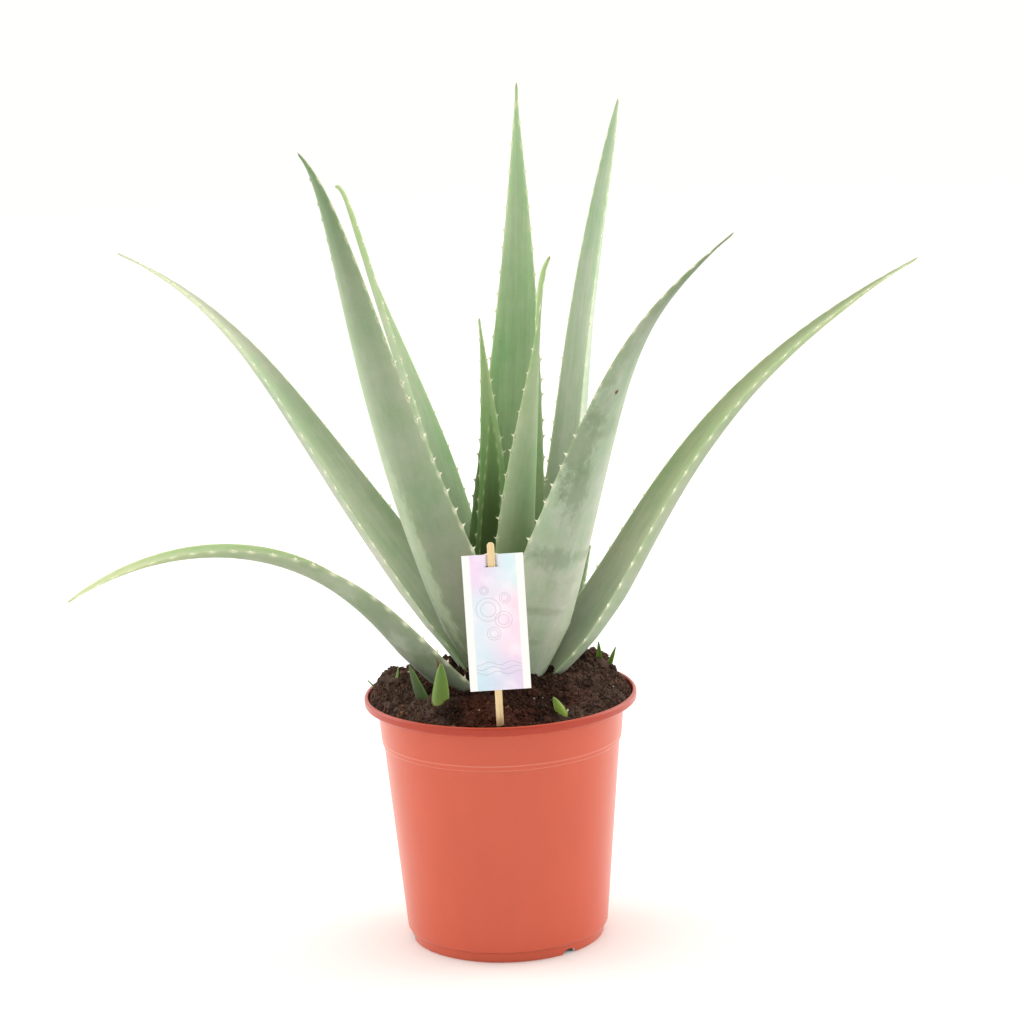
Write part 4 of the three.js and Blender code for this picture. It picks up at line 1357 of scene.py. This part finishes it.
class TurnRule:
    """The geometry tree that turns an outline, x outwards and z up, about the vertical."""

    def __init__(self) -> None:
        """Builds the tree."""
        self.g = Graph.new(TreeKind.GEOMETRY, "turned wall", {
            "Geometry": (Kind.MESH, None), "Segments": (Kind.COUNT, 192),
            "Points": (Kind.COUNT, 10), "Finish": (Kind.MATERIAL, None)}, {"Geometry": Kind.MESH})
        g, given = self.g, self.g.given
        sheet = g.take("GeometryNodeMeshGrid", {"Size X": 1.0, "Size Y": 1.0,
                                                "Vertices X": given["Segments"] + 1,
                                                "Vertices Y": given["Points"]})
        x, y, _ = g.place().parts()
        row = g.math("ROUND", (y + 0.5) * (given["Points"] - 1))
        on = g.take("GeometryNodeSampleIndex", {"Geometry": given["Geometry"], "Value": g.place(),
                                                "Index": row}, data_type="FLOAT_VECTOR")
        radius, _, height = on.parts()
        angle = (x + 0.5) * (2.0 * math.pi)
        place = g.xyz(radius * g.math("COSINE", angle), radius * g.math("SINE", angle), height)
        merged = g.take("GeometryNodeMergeByDistance", {"Geometry": g.moved(sheet, place),
                                                        "Distance": WELD})
        g.end(merged, given["Finish"])


@dataclass
class NurseryPot:
    """Thin-walled moulded pot, in millimetres."""

    height: float = 157.0
    rim_radius: float = 85.0
    wall: float = 1.4
    foot_radius: float = 60.4
    body_low_radius: float = 63.3
    body_top_radius: float = 73.8
    collar_low: float = 128.0
    collar_radius: float = 75.1
    neck_radius: float = 77.0
    neck_top: float = 150.4
    lip_low: float = 152.3
    mouth_radius: float = 82.2
    flange_radius: float = 75.8
    flange_height: float = 152.2
    base_low: float = 4.0
    segments: int = 208
    notches: int = 3
    notch_azimuth: float = -52.0
    notch_width: float = 9.2
    notch_height: float = 3.2
    notch_inward: float = 8.0
    notch_outward: float = 4.0
    drain_holes: int = 6
    drain_azimuth: float = 30.0
    drain_radius: float = 4.5
    drain_circle: float = 38.0
    drain_depth: float = 12.0
    drain_middle: float = 5.0

    def outline(self) -> list[Point]:
        """Corners of the wall: r, z and rounding, from the axis round to the axis."""
        w = self.wall
        low, top, collar = self.body_low_radius, self.body_top_radius, self.collar_radius
        return [
            (0, self.base_low, 0), (self.foot_radius - 3.4, self.base_low, 0.8),
            (self.foot_radius - 2.2, 0, 0.6), (self.foot_radius, 0, 0.7),
            (self.foot_radius + 0.4, 6, 0.5), (low - 0.7, 6.7, 0.5), (low, 7.8, 0.9),
            (top, self.collar_low - 1.5, 0.5), (top + 0.9, self.collar_low - 0.9, 0.35),
            (collar, self.collar_low + 1.2, 0.6), (self.neck_radius, self.neck_top, 0.7),
            (self.rim_radius - w, self.lip_low - 1, 0.8), (self.rim_radius, self.lip_low, 1.2),
            (self.rim_radius, self.height - 1, 1.1), (self.rim_radius - 0.8, self.height, 0.6),
            (self.rim_radius - 2, self.height, 0.6), (self.mouth_radius + 0.2, self.height - 0.8, 0.5),
            (self.mouth_radius, self.flange_height + w, 0.8), (self.flange_radius, self.flange_height, 0.8),
            (collar - w, self.collar_low + 1.8, 0.8), (top - w, self.collar_low - 1, 0.8),
            (low - w + 0.1, 8.6, 1.2), (low - w - 1.6, self.base_low + w, 1.2),
            (0, self.base_low + w, 0),
        ]

    def _cutters(self) -> bpy.types.Object:
        """Arched drainage notches in the foot ring and round holes in the base, as one cutter."""
        shape = bmesh.new()
        half, steps = self.notch_width / 2, 12
        turns = [math.pi * k / steps for k in range(steps + 1)]
        arch = [(-half, -1.0)]
        arch += [(-half * math.cos(t), self.notch_height * math.sin(t) ** 0.6) for t in turns]
        arch += [(half, -1.0)]
        for i in range(self.notches):
            turn = Matrix.Rotation(math.radians(self.notch_azimuth + 360 * i / self.notches), 4, "Z")
            inside, outside = [
                [shape.verts.new(turn @ Vector((r * MM, y * MM, z * MM))) for y, z in arch]
                for r in (self.foot_radius - self.notch_inward, self.foot_radius + self.notch_outward)]
            for a in range(len(arch)):
                b = (a + 1) % len(arch)
                shape.faces.new((inside[a], inside[b], outside[b], outside[a]))
            shape.faces.new(inside[::-1])
            shape.faces.new(outside)
        for i in range(self.drain_holes):
            angle = math.radians(360 * i / self.drain_holes + self.drain_azimuth)
            at = Vector((math.cos(angle), math.sin(angle), 0)) * self.drain_circle * MM
            at.z = self.drain_middle * MM
            bmesh.ops.create_cone(shape, cap_ends=True, segments=32, radius1=self.drain_radius * MM,
                                  radius2=self.drain_radius * MM, depth=self.drain_depth * MM,
                                  matrix=Matrix.Translation(at))
        bmesh.ops.recalc_face_normals(shape, faces=shape.faces)
        cutter = mesh_object("pot_cutter", [], [])
        shape.to_mesh(cutter.data)
        shape.free()
        return cutter

    def build(self, effects: Effects) -> None:
        """Turns the wall, cuts its openings and dresses it."""
        points = rounded(self.outline())
        places = [(r * MM, 0.0, z * MM) for r, z in points]
        pot = mesh_object("nursery_pot_wall", places, [], [(i, i + 1) for i in range(len(places) - 1)])
        grow(pot, TurnRule().g.tree, {"Segments": self.segments, "Points": len(points),
                                      "Finish": PlasticFinish().make(effects)})
        face_out(pot)
        cutter = self._cutters()
        cut = pot.modifiers.new("openings", "BOOLEAN")
        cut.operation = "DIFFERENCE"
        cut.solver = "EXACT"
        cut.object = cutter
        finish_modifiers(pot)
        bpy.data.objects.remove(cutter)
        smooth(pot, angle=38)
        hand_over(pot, "pot_plastic", "nursery_pot")


# ---- soil ----


@dataclass(frozen=True)
class Mound:
    """A heap or hollow of the soil, in millimetres."""

    x: float
    y: float
    rise: float
    spread: float

    def at(self, x: float, y: float) -> float:
        """Height that the heap adds."""
        return self.rise * math.exp(-((x - self.x) ** 2 + (y - self.y) ** 2) / (2 * self.spread ** 2))


class GrainKind(Enum):
    """What a scattered grain is."""

    CRUMB = 1
    FIBRE = 2


@dataclass(frozen=True)
class Grains:
    """One kind of loose matter on the soil: how many in a square metre, how large, and where.

    smallest, largest and outer are in millimetres, sink is in sizes of the grain, and the patches
    that hold it come from a noise of patch_scale above patch_from.
    """

    name: str
    kind: GrainKind
    density: float
    smallest: float
    largest: float
    seed: int
    finish: EarthFinish
    detail: int = 1
    patch_scale: float = 60.0
    patch_from: float = 0.3
    sink: float = 0.25
    outer: float = 79.5


class GrainRule:
    """The geometry tree that scatters grains of one kind on the soil's top."""

    PATCH_FADE = 0.2
    STEEPEST = 0.1
    SMALL_POWER = 2.2
    WHOLE_TURN = 6.28
    FIBRE_TILT = 0.5
    ROUGH_SCALE = {GrainKind.CRUMB: 700.0, GrainKind.FIBRE: 160.0}
    ROUGH_PUSH = {GrainKind.CRUMB: 0.85, GrainKind.FIBRE: 0.5}
    FIBRE_POINTS = 7
    FIBRE_RADIUS = 0.024

    def __init__(self, kind: GrainKind) -> None:
        """Builds the tree for crumbs or for fibres."""
        self.g = Graph.new(TreeKind.GEOMETRY, f"scattered {kind.name.lower()}s", {
            "Geometry": (Kind.MESH, None), "Density": (Kind.NUMBER, 1e5),
            "Smallest": (Kind.NUMBER, 0.0005), "Largest": (Kind.NUMBER, 0.002),
            "Outer": (Kind.NUMBER, 0.0795), "Inner": (Kind.NUMBER, 0.012),
            "Patch scale": (Kind.NUMBER, 60.0), "Patch from": (Kind.NUMBER, 0.3),
            "Sink": (Kind.NUMBER, 0.25), "Detail": (Kind.COUNT, 1), "Seed": (Kind.COUNT, 1),
            "Finish": (Kind.MATERIAL, None)}, {"Geometry": Kind.MESH})
        g, given = self.g, self.g.given
        x, y, _ = g.place().parts()
        away = g.length(x, y)
        patch = g.ramp(g.noise(g.place(), given["Patch scale"], 2.0), given["Patch from"],
                       given["Patch from"] + self.PATCH_FADE)
        ring = g.math("LESS_THAN", away, given["Outer"]) * g.math("GREATER_THAN", away, given["Inner"])
        upright = g.take("GeometryNodeInputNormal").parts()[2]
        facing = g.math("GREATER_THAN", upright, self.STEEPEST)
        open_soil = 1.0 - g.take("GeometryNodeInputNamedAttribute", {"Name": "clear"}, data_type="FLOAT")
        node = g.put("GeometryNodeDistributePointsOnFaces", {
            "Mesh": given["Geometry"], "Density": given["Density"] * patch * ring * facing * open_soil,
            "Seed": given["Seed"]})
        points, normal = Term(g, node.outputs["Points"]), Term(g, node.outputs["Normal"])
        lot = g.chance(0.0, 1.0, given["Seed"] + 1) ** self.SMALL_POWER
        size = given["Smallest"] + (given["Largest"] - given["Smallest"]) * lot
        points = g.take("GeometryNodeSetPosition", {"Geometry": points,
                                                    "Offset": normal * (size * given["Sink"])})
        fibre = kind is GrainKind.FIBRE
        low, high = (-self.FIBRE_TILT, self.FIBRE_TILT) if fibre else (0.0, self.WHOLE_TURN)
        whirl = g.xyz(g.chance(low, high, given["Seed"] + 2), g.chance(low, high, given["Seed"] + 3),
                      g.chance(0.0, self.WHOLE_TURN, given["Seed"] + 4))
        shape = self._fibre() if fibre else self._crumb()
        spread = g.take("GeometryNodeInstanceOnPoints", {
            "Points": points, "Instance": shape, "Scale": size,
            "Rotation": g.take("FunctionNodeEulerToRotation", {"Euler": whirl})})
        spread = g.store(spread, "tone_and_shade", g.chance(0.0, 1.0, given["Seed"] + 6), "FLOAT", "INSTANCE")
        plain = g.take("GeometryNodeRealizeInstances", {"Geometry": spread})
        rough = g.noise(g.place(), self.ROUGH_SCALE[kind], 1.0, result="Color")
        push = g.vector("SUBTRACT", rough, (0.5, 0.5, 0.5)) * (given["Largest"] * self.ROUGH_PUSH[kind])
        plain = g.take("GeometryNodeSetPosition", {"Geometry": plain, "Offset": push})
        shaded = g.take("GeometryNodeSetShadeSmooth", {"Geometry": plain, "Shade Smooth": False})
        g.end(shaded, given["Finish"])

    def _crumb(self) -> Term:
        """A grain 1 across."""
        return self.g.take("GeometryNodeMeshIcoSphere", {"Radius": 0.5,
                                                         "Subdivisions": self.g.given["Detail"]})

    def _fibre(self) -> Term:
        """A thin three-sided root 1 long, lying along X with its middle lifted."""
        g = self.g
        step = 1.0 / (self.FIBRE_POINTS - 1)
        line = g.take("GeometryNodeMeshLine", {"Count": self.FIBRE_POINTS,
                                               "Start Location": (-0.5, 0.0, 0.0),
                                               "Offset": (step, 0.0, 0.0)})
        x = g.place().parts()[0]
        bent = g.xyz(x, g.math("SINE", x * 5.0) * 0.12, 0.12 - x * x * 0.5)
        curve = g.take("GeometryNodeMeshToCurve", {"Mesh": g.moved(line, bent)})
        ring = g.take("GeometryNodeCurvePrimitiveCircle", {"Resolution": 3,
                                                           "Radius": self.FIBRE_RADIUS})
        return g.take("GeometryNodeCurveToMesh", {"Curve": curve, "Profile Curve": ring,
                                                  "Fill Caps": True})


@dataclass
class Soil:
    """The soil ball, in millimetres: pot-shaped sides and a heaped, crumbly top.

    Clods and lumps are the top's coarse and fine relief. They and the loose soil fade out round the
    foot of each shoot, from clear_fade times clear_reach inwards.
    """

    AXIS: ClassVar[float] = 1e-6

    edge_height: float = 154.6
    edge_radius: float = 81.65
    rise: float = 17.5
    dome_radius: float = 82.0
    heap_radius: float = 84.0
    heap_fade: float = 11.0
    flange_inner: float = 72.0
    flange_radius: float = 75.3
    flange_height: float = 153.0
    flange_rise: float = 0.95
    flange_width: float = 6.0
    clod_size: float = 8.5
    clod_rise: float = 5.2
    lump_size: float = 3.4
    lump_rise: float = 2.4
    hollow_depth: float = 7.0
    calm_reach: float = 2.5
    # Painted shade: the bed's tone rises and falls with its lumps and hollows.
    tint_middle: float = 0.45
    hollow_shade_gain: float = 0.24
    around: int = 440
    rings: int = 170
    mounds: tuple[Mound, ...] = (
        Mound(67, 37, 11.5, 13), Mound(-78, 8, 6.5, 17), Mound(-58, 6, 2, 12),
        Mound(41, -53, -9.5, 17), Mound(-38, -48, 3, 10), Mound(-6, -74, -5.5, 22),
    )
    clear_round: tuple[tuple[float, float], ...] = tuple(
        (shoot.root[0] + (shoot.tip[0] - shoot.root[0]) * 0.2, shoot.root[1] - 2.0) for shoot in SHOOTS)
    clear_reach: float = 5.0
    clear_fade: float = 1.6
    sides: tuple[tuple[float, float], ...] = (
        (0.0, 5.75), (59.75, 5.75), (61.45, 8.9), (72.05, 126.8), (73.35, 130.1), (75.3, 152.7),
        (81.3, 153.9),
    )

    def level(self, x: float, y: float) -> float:
        """Height of the smooth soil, as the solid has it."""
        r = math.hypot(x, y)
        t = limited((self.heap_radius - r) / self.heap_fade)
        edge = t * t * (3 - 2 * t)
        dome = self.rise * (1 - min(r / self.dome_radius, 1) ** 2.8)
        crumbs = (0.9 * math.sin(x * 0.31 + 1.3) * math.cos(y * 0.27 - 0.4)
                  + 0.7 * math.sin(x * 0.13 - y * 0.41 + 2.1))
        return self.edge_height + dome + edge * (sum(m.at(x, y) for m in self.mounds) + crumbs)

    def flange(self, r: float) -> float:
        """Lowest that the soil may be at a radius: it covers the pot's flange."""
        if r <= self.flange_inner:
            return 0.0
        out = limited((r - self.flange_radius) / self.flange_width)
        return self.flange_height + self.flange_rise * out

    def clear(self, x: float, y: float) -> float:
        """1 at a shoot's foot, where no loose soil lies, and 0 away from it."""
        near = min(math.hypot(x - a, y - b) for a, b in self.clear_round)
        return limited(self.clear_fade - near / self.clear_reach)

    def clods(self, x: float, y: float) -> float:
        """Height of the lumps and hollows on the smooth soil."""
        place = Vector((x, y, 0.0))
        drift = place * 0.09
        wander = Vector((noise.noise(drift), noise.noise(drift + Vector((31, 7, 0))), 0)) * 4
        big = noise.voronoi((place + wander) / self.clod_size)[0][0]
        small = noise.voronoi((place + wander) / self.lump_size + Vector((11, 5, 0)))[0][0]
        grit = noise.fractal(place * 0.85, 0.6, 2.1, 4)
        hollow = max(noise.noise(place * 0.12 + Vector((3, 17, 0))) - 0.25, 0.0)
        return (self.clod_rise * (0.42 - big) + self.lump_rise * (0.4 - small) + grit
                - self.hollow_depth * hollow)

    def ball(self) -> bpy.types.Object:
        """The whole soil ball as one closed mesh."""
        points, rows = [], []
        shade_and_clear: dict[int, tuple[float, float]] = {}
        turns = [2 * math.pi * j / self.around for j in range(self.around)]
        for r, z in self.sides:
            rows.append(self._row(points, [(r * math.cos(a), r * math.sin(a), z) for a in turns], r))
        for i in range(self.rings + 1):
            r = self.edge_radius * (1 - i / self.rings)
            calm = limited((self.edge_radius - r) / self.calm_reach)
            places = []
            on_axis = r < self.AXIS
            for a in turns[:1] if on_axis else turns:
                x, y = r * math.cos(a), r * math.sin(a)
                clear = self.clear(x, y)
                lump = self.clods(x, y) * (1.0 - clear)
                # Painted shade: the bed is lighter on lumps and darker in the hollows.
                tone_and_shade = limited(self.tint_middle + lump * self.hollow_shade_gain)
                shade_and_clear[len(points) + len(places)] = (tone_and_shade, clear)
                places.append((x, y, max(self.level(x, y) + calm * lump, self.flange(r))))
            rows.append(self._row(points, places * (self.around if on_axis else 1), r))
        faces = []
        for lower, upper in zip(rows, rows[1:]):
            for j in range(self.around):
                k = (j + 1) % self.around
                ids = [lower[j], lower[k], upper[k], upper[j]]
                faces.append(tuple(dict.fromkeys(ids)))
        soil = mesh_object("soil_bed", millimetres(points), [f for f in faces if len(f) > 2])
        for place, name in enumerate(("tone_and_shade", "clear")):
            layer = soil.data.attributes.new(name, "FLOAT", "POINT")
            for number, values in shade_and_clear.items():
                layer.data[number].value = values[place]
        smooth(soil)
        return soil

    def _row(self, points: list[Point], places: Sequence[Point], radius: float) -> list[int]:
        """Adds a ring's points, or one point on the axis, and gives their numbers."""
        if radius < self.AXIS:
            points.append(places[0])
            return [len(points) - 1] * len(places)
        points.extend(places)
        return list(range(len(points) - len(places), len(points)))

    def build(self, effects: Effects) -> None:
        """Makes the soil, and scatters crumbs, fibres and pale grit on it."""
        peat = EarthFinish("peat", dark="0e0704", light="3f2719")
        bed = self.ball()
        rules = {kind: GrainRule(kind) for kind in GrainKind}
        for grains in GRAINS:
            piece = mesh_object(grains.name, [], [])
            piece.data = bed.data.copy()
            grow(piece, rules[grains.kind].g.tree, {
                "Density": grains.density, "Smallest": grains.smallest * MM,
                "Largest": grains.largest * MM, "Patch scale": grains.patch_scale,
                "Patch from": grains.patch_from, "Sink": grains.sink, "Detail": grains.detail,
                "Outer": grains.outer * MM, "Seed": grains.seed,
                "Finish": grains.finish.make(effects)})
            hand_over(piece, "soil")
        bed.data.materials.append(peat.make(effects))
        hand_over(bed, "soil", "soil")


GRAINS = (
    Grains("soil_clods", GrainKind.CRUMB, density=1.0e5, smallest=2.2, largest=5.2, seed=3,
           finish=EarthFinish("clods", dark="150b07", light="3c2317"),
           detail=2, patch_scale=55.0, patch_from=0.32, sink=0.05, outer=77.0),
    Grains("soil_crumbs", GrainKind.CRUMB, density=6.0e5, smallest=0.9, largest=2.6, seed=5,
           finish=EarthFinish("crumbs", dark="140a06", light="4c2e1f"), patch_from=0.2, sink=0.2),
    Grains("soil_fibres", GrainKind.FIBRE, density=5.5e4, smallest=3.0, largest=9.0, seed=7,
           finish=EarthFinish("fibres", dark="3a2014", light="7d4e30", red="7a3a22"),
           patch_scale=45.0, patch_from=0.35, sink=0.05),
    Grains("soil_bark", GrainKind.CRUMB, density=1.5e4, smallest=1.1, largest=3.4, seed=13,
           finish=EarthFinish("bark", dark="52301d", light="8a5c3a"), patch_from=0.3, sink=0.25),
    Grains("soil_grit", GrainKind.CRUMB, density=1.9e4, smallest=0.6, largest=1.7, seed=9,
           finish=EarthFinish("grit", dark="b9ab98", light="f1ece2", red="cdbfae", damp=0.0,
                              side_paling=0.0),
           patch_scale=24.0, patch_from=0.42, sink=0.35),
)


# ---- label ----


@dataclass
class Label:
    """A bamboo stick with a card on it, in millimetres, drawn standing and then leaned."""

    at: Point = (-0.7, -74.5, 154.0)
    lean: float = 6.5
    tilt: float = 1.1
    card_tilt: float = 0.57
    stick_width: float = 4.4
    stick_thick: float = 1.6
    stick_low: float = -57.0
    stick_top: float = 118.3
    card_width: float = 36.5
    card_low: float = 25.6
    card_top: float = 111.0
    card_thick: float = 0.6
    card_shift: float = 0.75
    slit: float = 103.4
    slit_half: float = 4.6
    cut_length: float = 8.0
    point_half: float = 1.2
    soft_edge: float = 0.3
    stand_off: float = 0.6
    fall: float = 0.02
    front_bulge: float = 0.9
    front_reach: float = 40.0
    back_bulge: float = 2.05

    def leaned(self) -> Matrix:
        """From where the label is drawn to its place in the pot, in metres."""
        return (Matrix.Translation(Vector(self.at) * MM)
                @ Matrix.Rotation(math.radians(-self.tilt), 4, "Y")
                @ Matrix.Rotation(math.radians(self.lean), 4, "X"))

    @staticmethod
    def _keep(piece: bpy.types.Object, name: str,
              value: Callable[[bpy.types.MeshVertex], Sequence[float]]) -> None:
        """Keeps a vector of every point of the mesh as an attribute."""
        layer = piece.data.attributes.new(name, "FLOAT_VECTOR", "POINT")
        for item, vertex in zip(layer.data, piece.data.vertices):
            item.vector = value(vertex)

    def stick(self, effects: Effects) -> None:
        """A flat stick with a rounded top, a cut point and softened edges."""
        half, neck = self.stick_width / 2, self.stick_top - self.stick_width / 2
        cut, steps = self.stick_low + self.cut_length, 16
        turns = [math.pi * k / steps for k in range(steps + 1)]
        outline = [(half, cut), (half, 0), (half, self.slit)]
        outline += [(half * math.cos(t), neck + half * math.sin(t)) for t in turns]
        outline += [(-half, self.slit), (-half, 0), (-half, cut),
                    (-self.point_half, self.stick_low), (self.point_half, self.stick_low)]
        points = [(x, y, z) for y in (-self.stick_thick / 2, self.stick_thick / 2) for x, z in outline]
        count = len(outline)
        faces = [list(range(count)), list(range(2 * count - 1, count - 1, -1))]
        faces += [[i, count + i, count + (i + 1) % count, (i + 1) % count] for i in range(count)]
        stick = mesh_object("bamboo_stick", millimetres(points), faces)
        face_out(stick)
        bevel = stick.modifiers.new("edges", "BEVEL")
        bevel.width = self.soft_edge * MM
        bevel.segments = 3
        bevel.angle_limit = math.radians(50)
        finish_modifiers(stick)
        self._keep(stick, "stick_place", lambda vertex: vertex.co)
        stick.data.transform(self.leaned())
        smooth(stick, angle=45)
        stick.data.materials.append(BambooFinish().make(effects))
        hand_over(stick, "stick_wood", "label_stick")

    def _card_depth(self, x: float, z: float, above: bool) -> float:
        """Where the card's middle lies from front to back, the stick's middle being 0."""
        fold = math.cos(x / self.slit_half * math.pi / 2) if abs(x) < self.slit_half else 0.0
        bulge = min(fold * 1.35, 1.0)
        bulge = bulge * bulge * (3 - 2 * bulge)
        plane = -self.stand_off - self.fall * max(self.slit - z, 0.0)
        if above:
            return plane + self.back_bulge * bulge
        return plane - self.front_bulge * bulge * max(0.0, 1 - (self.slit - z) / self.front_reach)

    def _sheet(self) -> tuple[list[Point], list[tuple[int, ...]]]:
        """Points and faces of the card's middle: two grids that share the slit's outer points."""
        columns, low_rows, top_rows = 56, 60, 8
        left = -self.card_width / 2 + self.card_shift
        xs = [left + self.card_width * j / columns for j in range(columns + 1)]
        heights = [(self.card_low + (self.slit - self.card_low) * i / low_rows, False)
                   for i in range(low_rows + 1)]
        heights += [(self.slit + (self.card_top - self.slit) * i / top_rows, True)
                    for i in range(top_rows + 1)]
        points: list[Point] = []
        rows: list[list[int]] = []
        for z, above in heights:
            beside_slit = len(rows) == low_rows + 1
            row = []
            for j, x in enumerate(xs):
                if beside_slit and abs(x) >= self.slit_half:
                    row.append(rows[low_rows][j])
                    continue
                row.append(len(points))
                points.append((x, self._card_depth(x, z, above), z))
            rows.append(row)
        faces = [(low[j], low[j + 1], high[j + 1], high[j])
                 for i, (low, high) in enumerate(zip(rows, rows[1:])) if i != low_rows
                 for j in range(columns)]
        return points, faces

    def card(self, effects: Effects) -> None:
        """The card: in front of the stick below its slit and behind it above."""
        points, faces = self._sheet()
        card = mesh_object("label_sheet", millimetres(points), faces)
        sheet = card.modifiers.new("sheet", "SOLIDIFY")
        sheet.thickness = self.card_thick * MM
        sheet.offset = 0.0
        finish_modifiers(card)
        face_out(card, merge=1e-7)
        pivot = Vector((0, 0, self.slit)) * MM
        own = (Matrix.Translation(pivot) @ Matrix.Rotation(math.radians(-self.card_tilt), 4, "Y")
               @ Matrix.Translation(-pivot))
        self._keep(card, "card_place", self._card_place)
        card.data.transform(self.leaned() @ own)
        smooth(card, angle=40)
        finish = CardFinish(half_width=self.card_width / 2, low=self.card_low, top=self.card_top)
        card.data.materials.append(finish.make(effects))
        hand_over(card, "label_card", "label_card")

    def _card_place(self, vertex: bpy.types.MeshVertex) -> Point:
        """x from the card's middle, 1 on the printed front and 0 elsewhere, and z."""
        front = 1.0 if vertex.normal.y < -0.2 else 0.0
        return vertex.co.x - self.card_shift * MM, front, vertex.co.z

    def build(self, effects: Effects) -> None:
        """Makes the stick and the card."""
        self.stick(effects)
        self.card(effects)


# ---- stage ----


@dataclass(frozen=True)
class Viewpoint:
    """The photograph's camera, in metres and degrees, for a square frame."""

    place: Point = (0.0, -1.9, 0.6756)
    pitch: float = 12.03
    yaw: float = 0.33
    roll: float = 1.892
    focal_px: float = 3149.6
    frame_px: float = 1024.0
    sensor_mm: float = 36.0

    def build(self) -> None:
        """Makes the camera and the scene's active one of it."""
        pitch, yaw, roll = (math.radians(v) for v in (self.pitch, self.yaw, self.roll))
        ahead = Vector((math.sin(yaw) * math.cos(pitch), math.cos(yaw) * math.cos(pitch),
                        -math.sin(pitch)))
        right = ahead.cross(Vector((0, 0, 1))).normalized()
        up = right.cross(ahead)
        x = right * math.cos(roll) - up * math.sin(roll)
        y = right * math.sin(roll) + up * math.cos(roll)
        lens = bpy.data.cameras.new("camera")
        lens.sensor_width = self.sensor_mm
        lens.lens = self.focal_px / self.frame_px * self.sensor_mm
        lens.clip_start = 0.05
        lens.clip_end = 50.0
        camera = bpy.data.objects.new("camera", lens)
        camera.matrix_world = Matrix.Translation(self.place) @ Matrix((x, y, -ahead)).transposed().to_4x4()
        bpy.context.scene.collection.objects.link(camera)
        bpy.context.scene.camera = camera


@dataclass(frozen=True)
class Lamp:
    """One soft white light, in metres and watts, aimed at the plant."""

    AIM: ClassVar[Point] = (0.0, 0.0, 0.2)

    name: str
    place: Point
    size: float
    power: float

    def build(self) -> None:
        """Makes the light."""
        light = bpy.data.lights.new(self.name, "AREA")
        light.shape = "SQUARE"
        light.size = self.size
        light.energy = self.power
        lamp = bpy.data.objects.new(self.name, light)
        aim = Vector(self.AIM) - Vector(self.place)
        turn = aim.to_track_quat("-Z", "Y").to_matrix().to_4x4()
        lamp.matrix_world = Matrix.Translation(self.place) @ turn
        lamp.visible_camera = False
        bpy.context.scene.collection.objects.link(lamp)


@dataclass(frozen=True)
class Studio:
    """Plain pale floor in a white tent, dimmer behind the camera and brighter at both sides."""

    reach: float = 60.0
    floor: str = "f9f8f3"
    tent: tuple[float, float, float, float] = (1.0, 0.995, 0.985, 1.0)
    bright: float = 1.05
    dim: float = 0.7
    side_gain: float = 0.6
    lamps: tuple[Lamp, ...] = (
        Lamp("left_light", (-1.9, 0.6, 0.9), 1.6, 12.0),
        Lamp("right_light", (1.9, 0.6, 0.9), 1.6, 12.0),
        Lamp("top_light", (0.0, 0.3, 2.6), 2.4, 16.0),
    )

    def build(self) -> None:
        """Makes the floor, the lights and the tent."""
        r = self.reach
        stage = mesh_object("studio_floor", [(-r, -r, 0), (r, -r, 0), (r, r, 0), (-r, r, 0)],
                            [(0, 1, 2, 3)])
        finish = Finish("studio_paper", Surface(specular=0.1))
        g = finish.graph
        grain = g.noise(finish.object_place(), 6.0, 2.0)
        colour = g.mix(grain * 0.06, tone(self.floor), tone("ffffff"))
        stage.data.materials.append(finish.close(colour, 0.9))
        for lamp in self.lamps:
            lamp.build()
        self._tent()
        view = bpy.context.scene.view_settings
        view.view_transform = "Standard"
        view.look = "None"
        view.exposure = 0.0

    def _tent(self) -> None:
        """White all round, dimmer towards -Y and brighter towards both sides."""
        world = bpy.data.worlds.new("white_tent")
        world.use_nodes = True
        bpy.context.scene.world = world
        background = world.node_tree.nodes["Background"]
        g = Graph(world.node_tree)
        x, y, _ = g.take("ShaderNodeTexCoord", result="Generated").parts()
        front = g.ramp(y, 0.25, -0.85)
        sides = g.ramp(x.size(), 0.3, 0.95)
        strength = self.bright + (self.dim - self.bright) * front + self.side_gain * sides
        background.inputs["Color"].default_value = self.tent
        g.feed(background.inputs["Strength"], strength)


# ---- whole ----


def main() -> None:
    """Builds every sub-assembly in order."""
    logging.basicConfig(level=logging.INFO, format="%(name)s %(message)s")
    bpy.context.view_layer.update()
    effects = Effects()
    Viewpoint().build()
    NurseryPot().build(effects)
    Soil().build(effects)
    Rosette(effects).build()
    Label().build(effects)
    Studio().build()
    LOG.info("done")


if __name__ == "__main__":
    main()
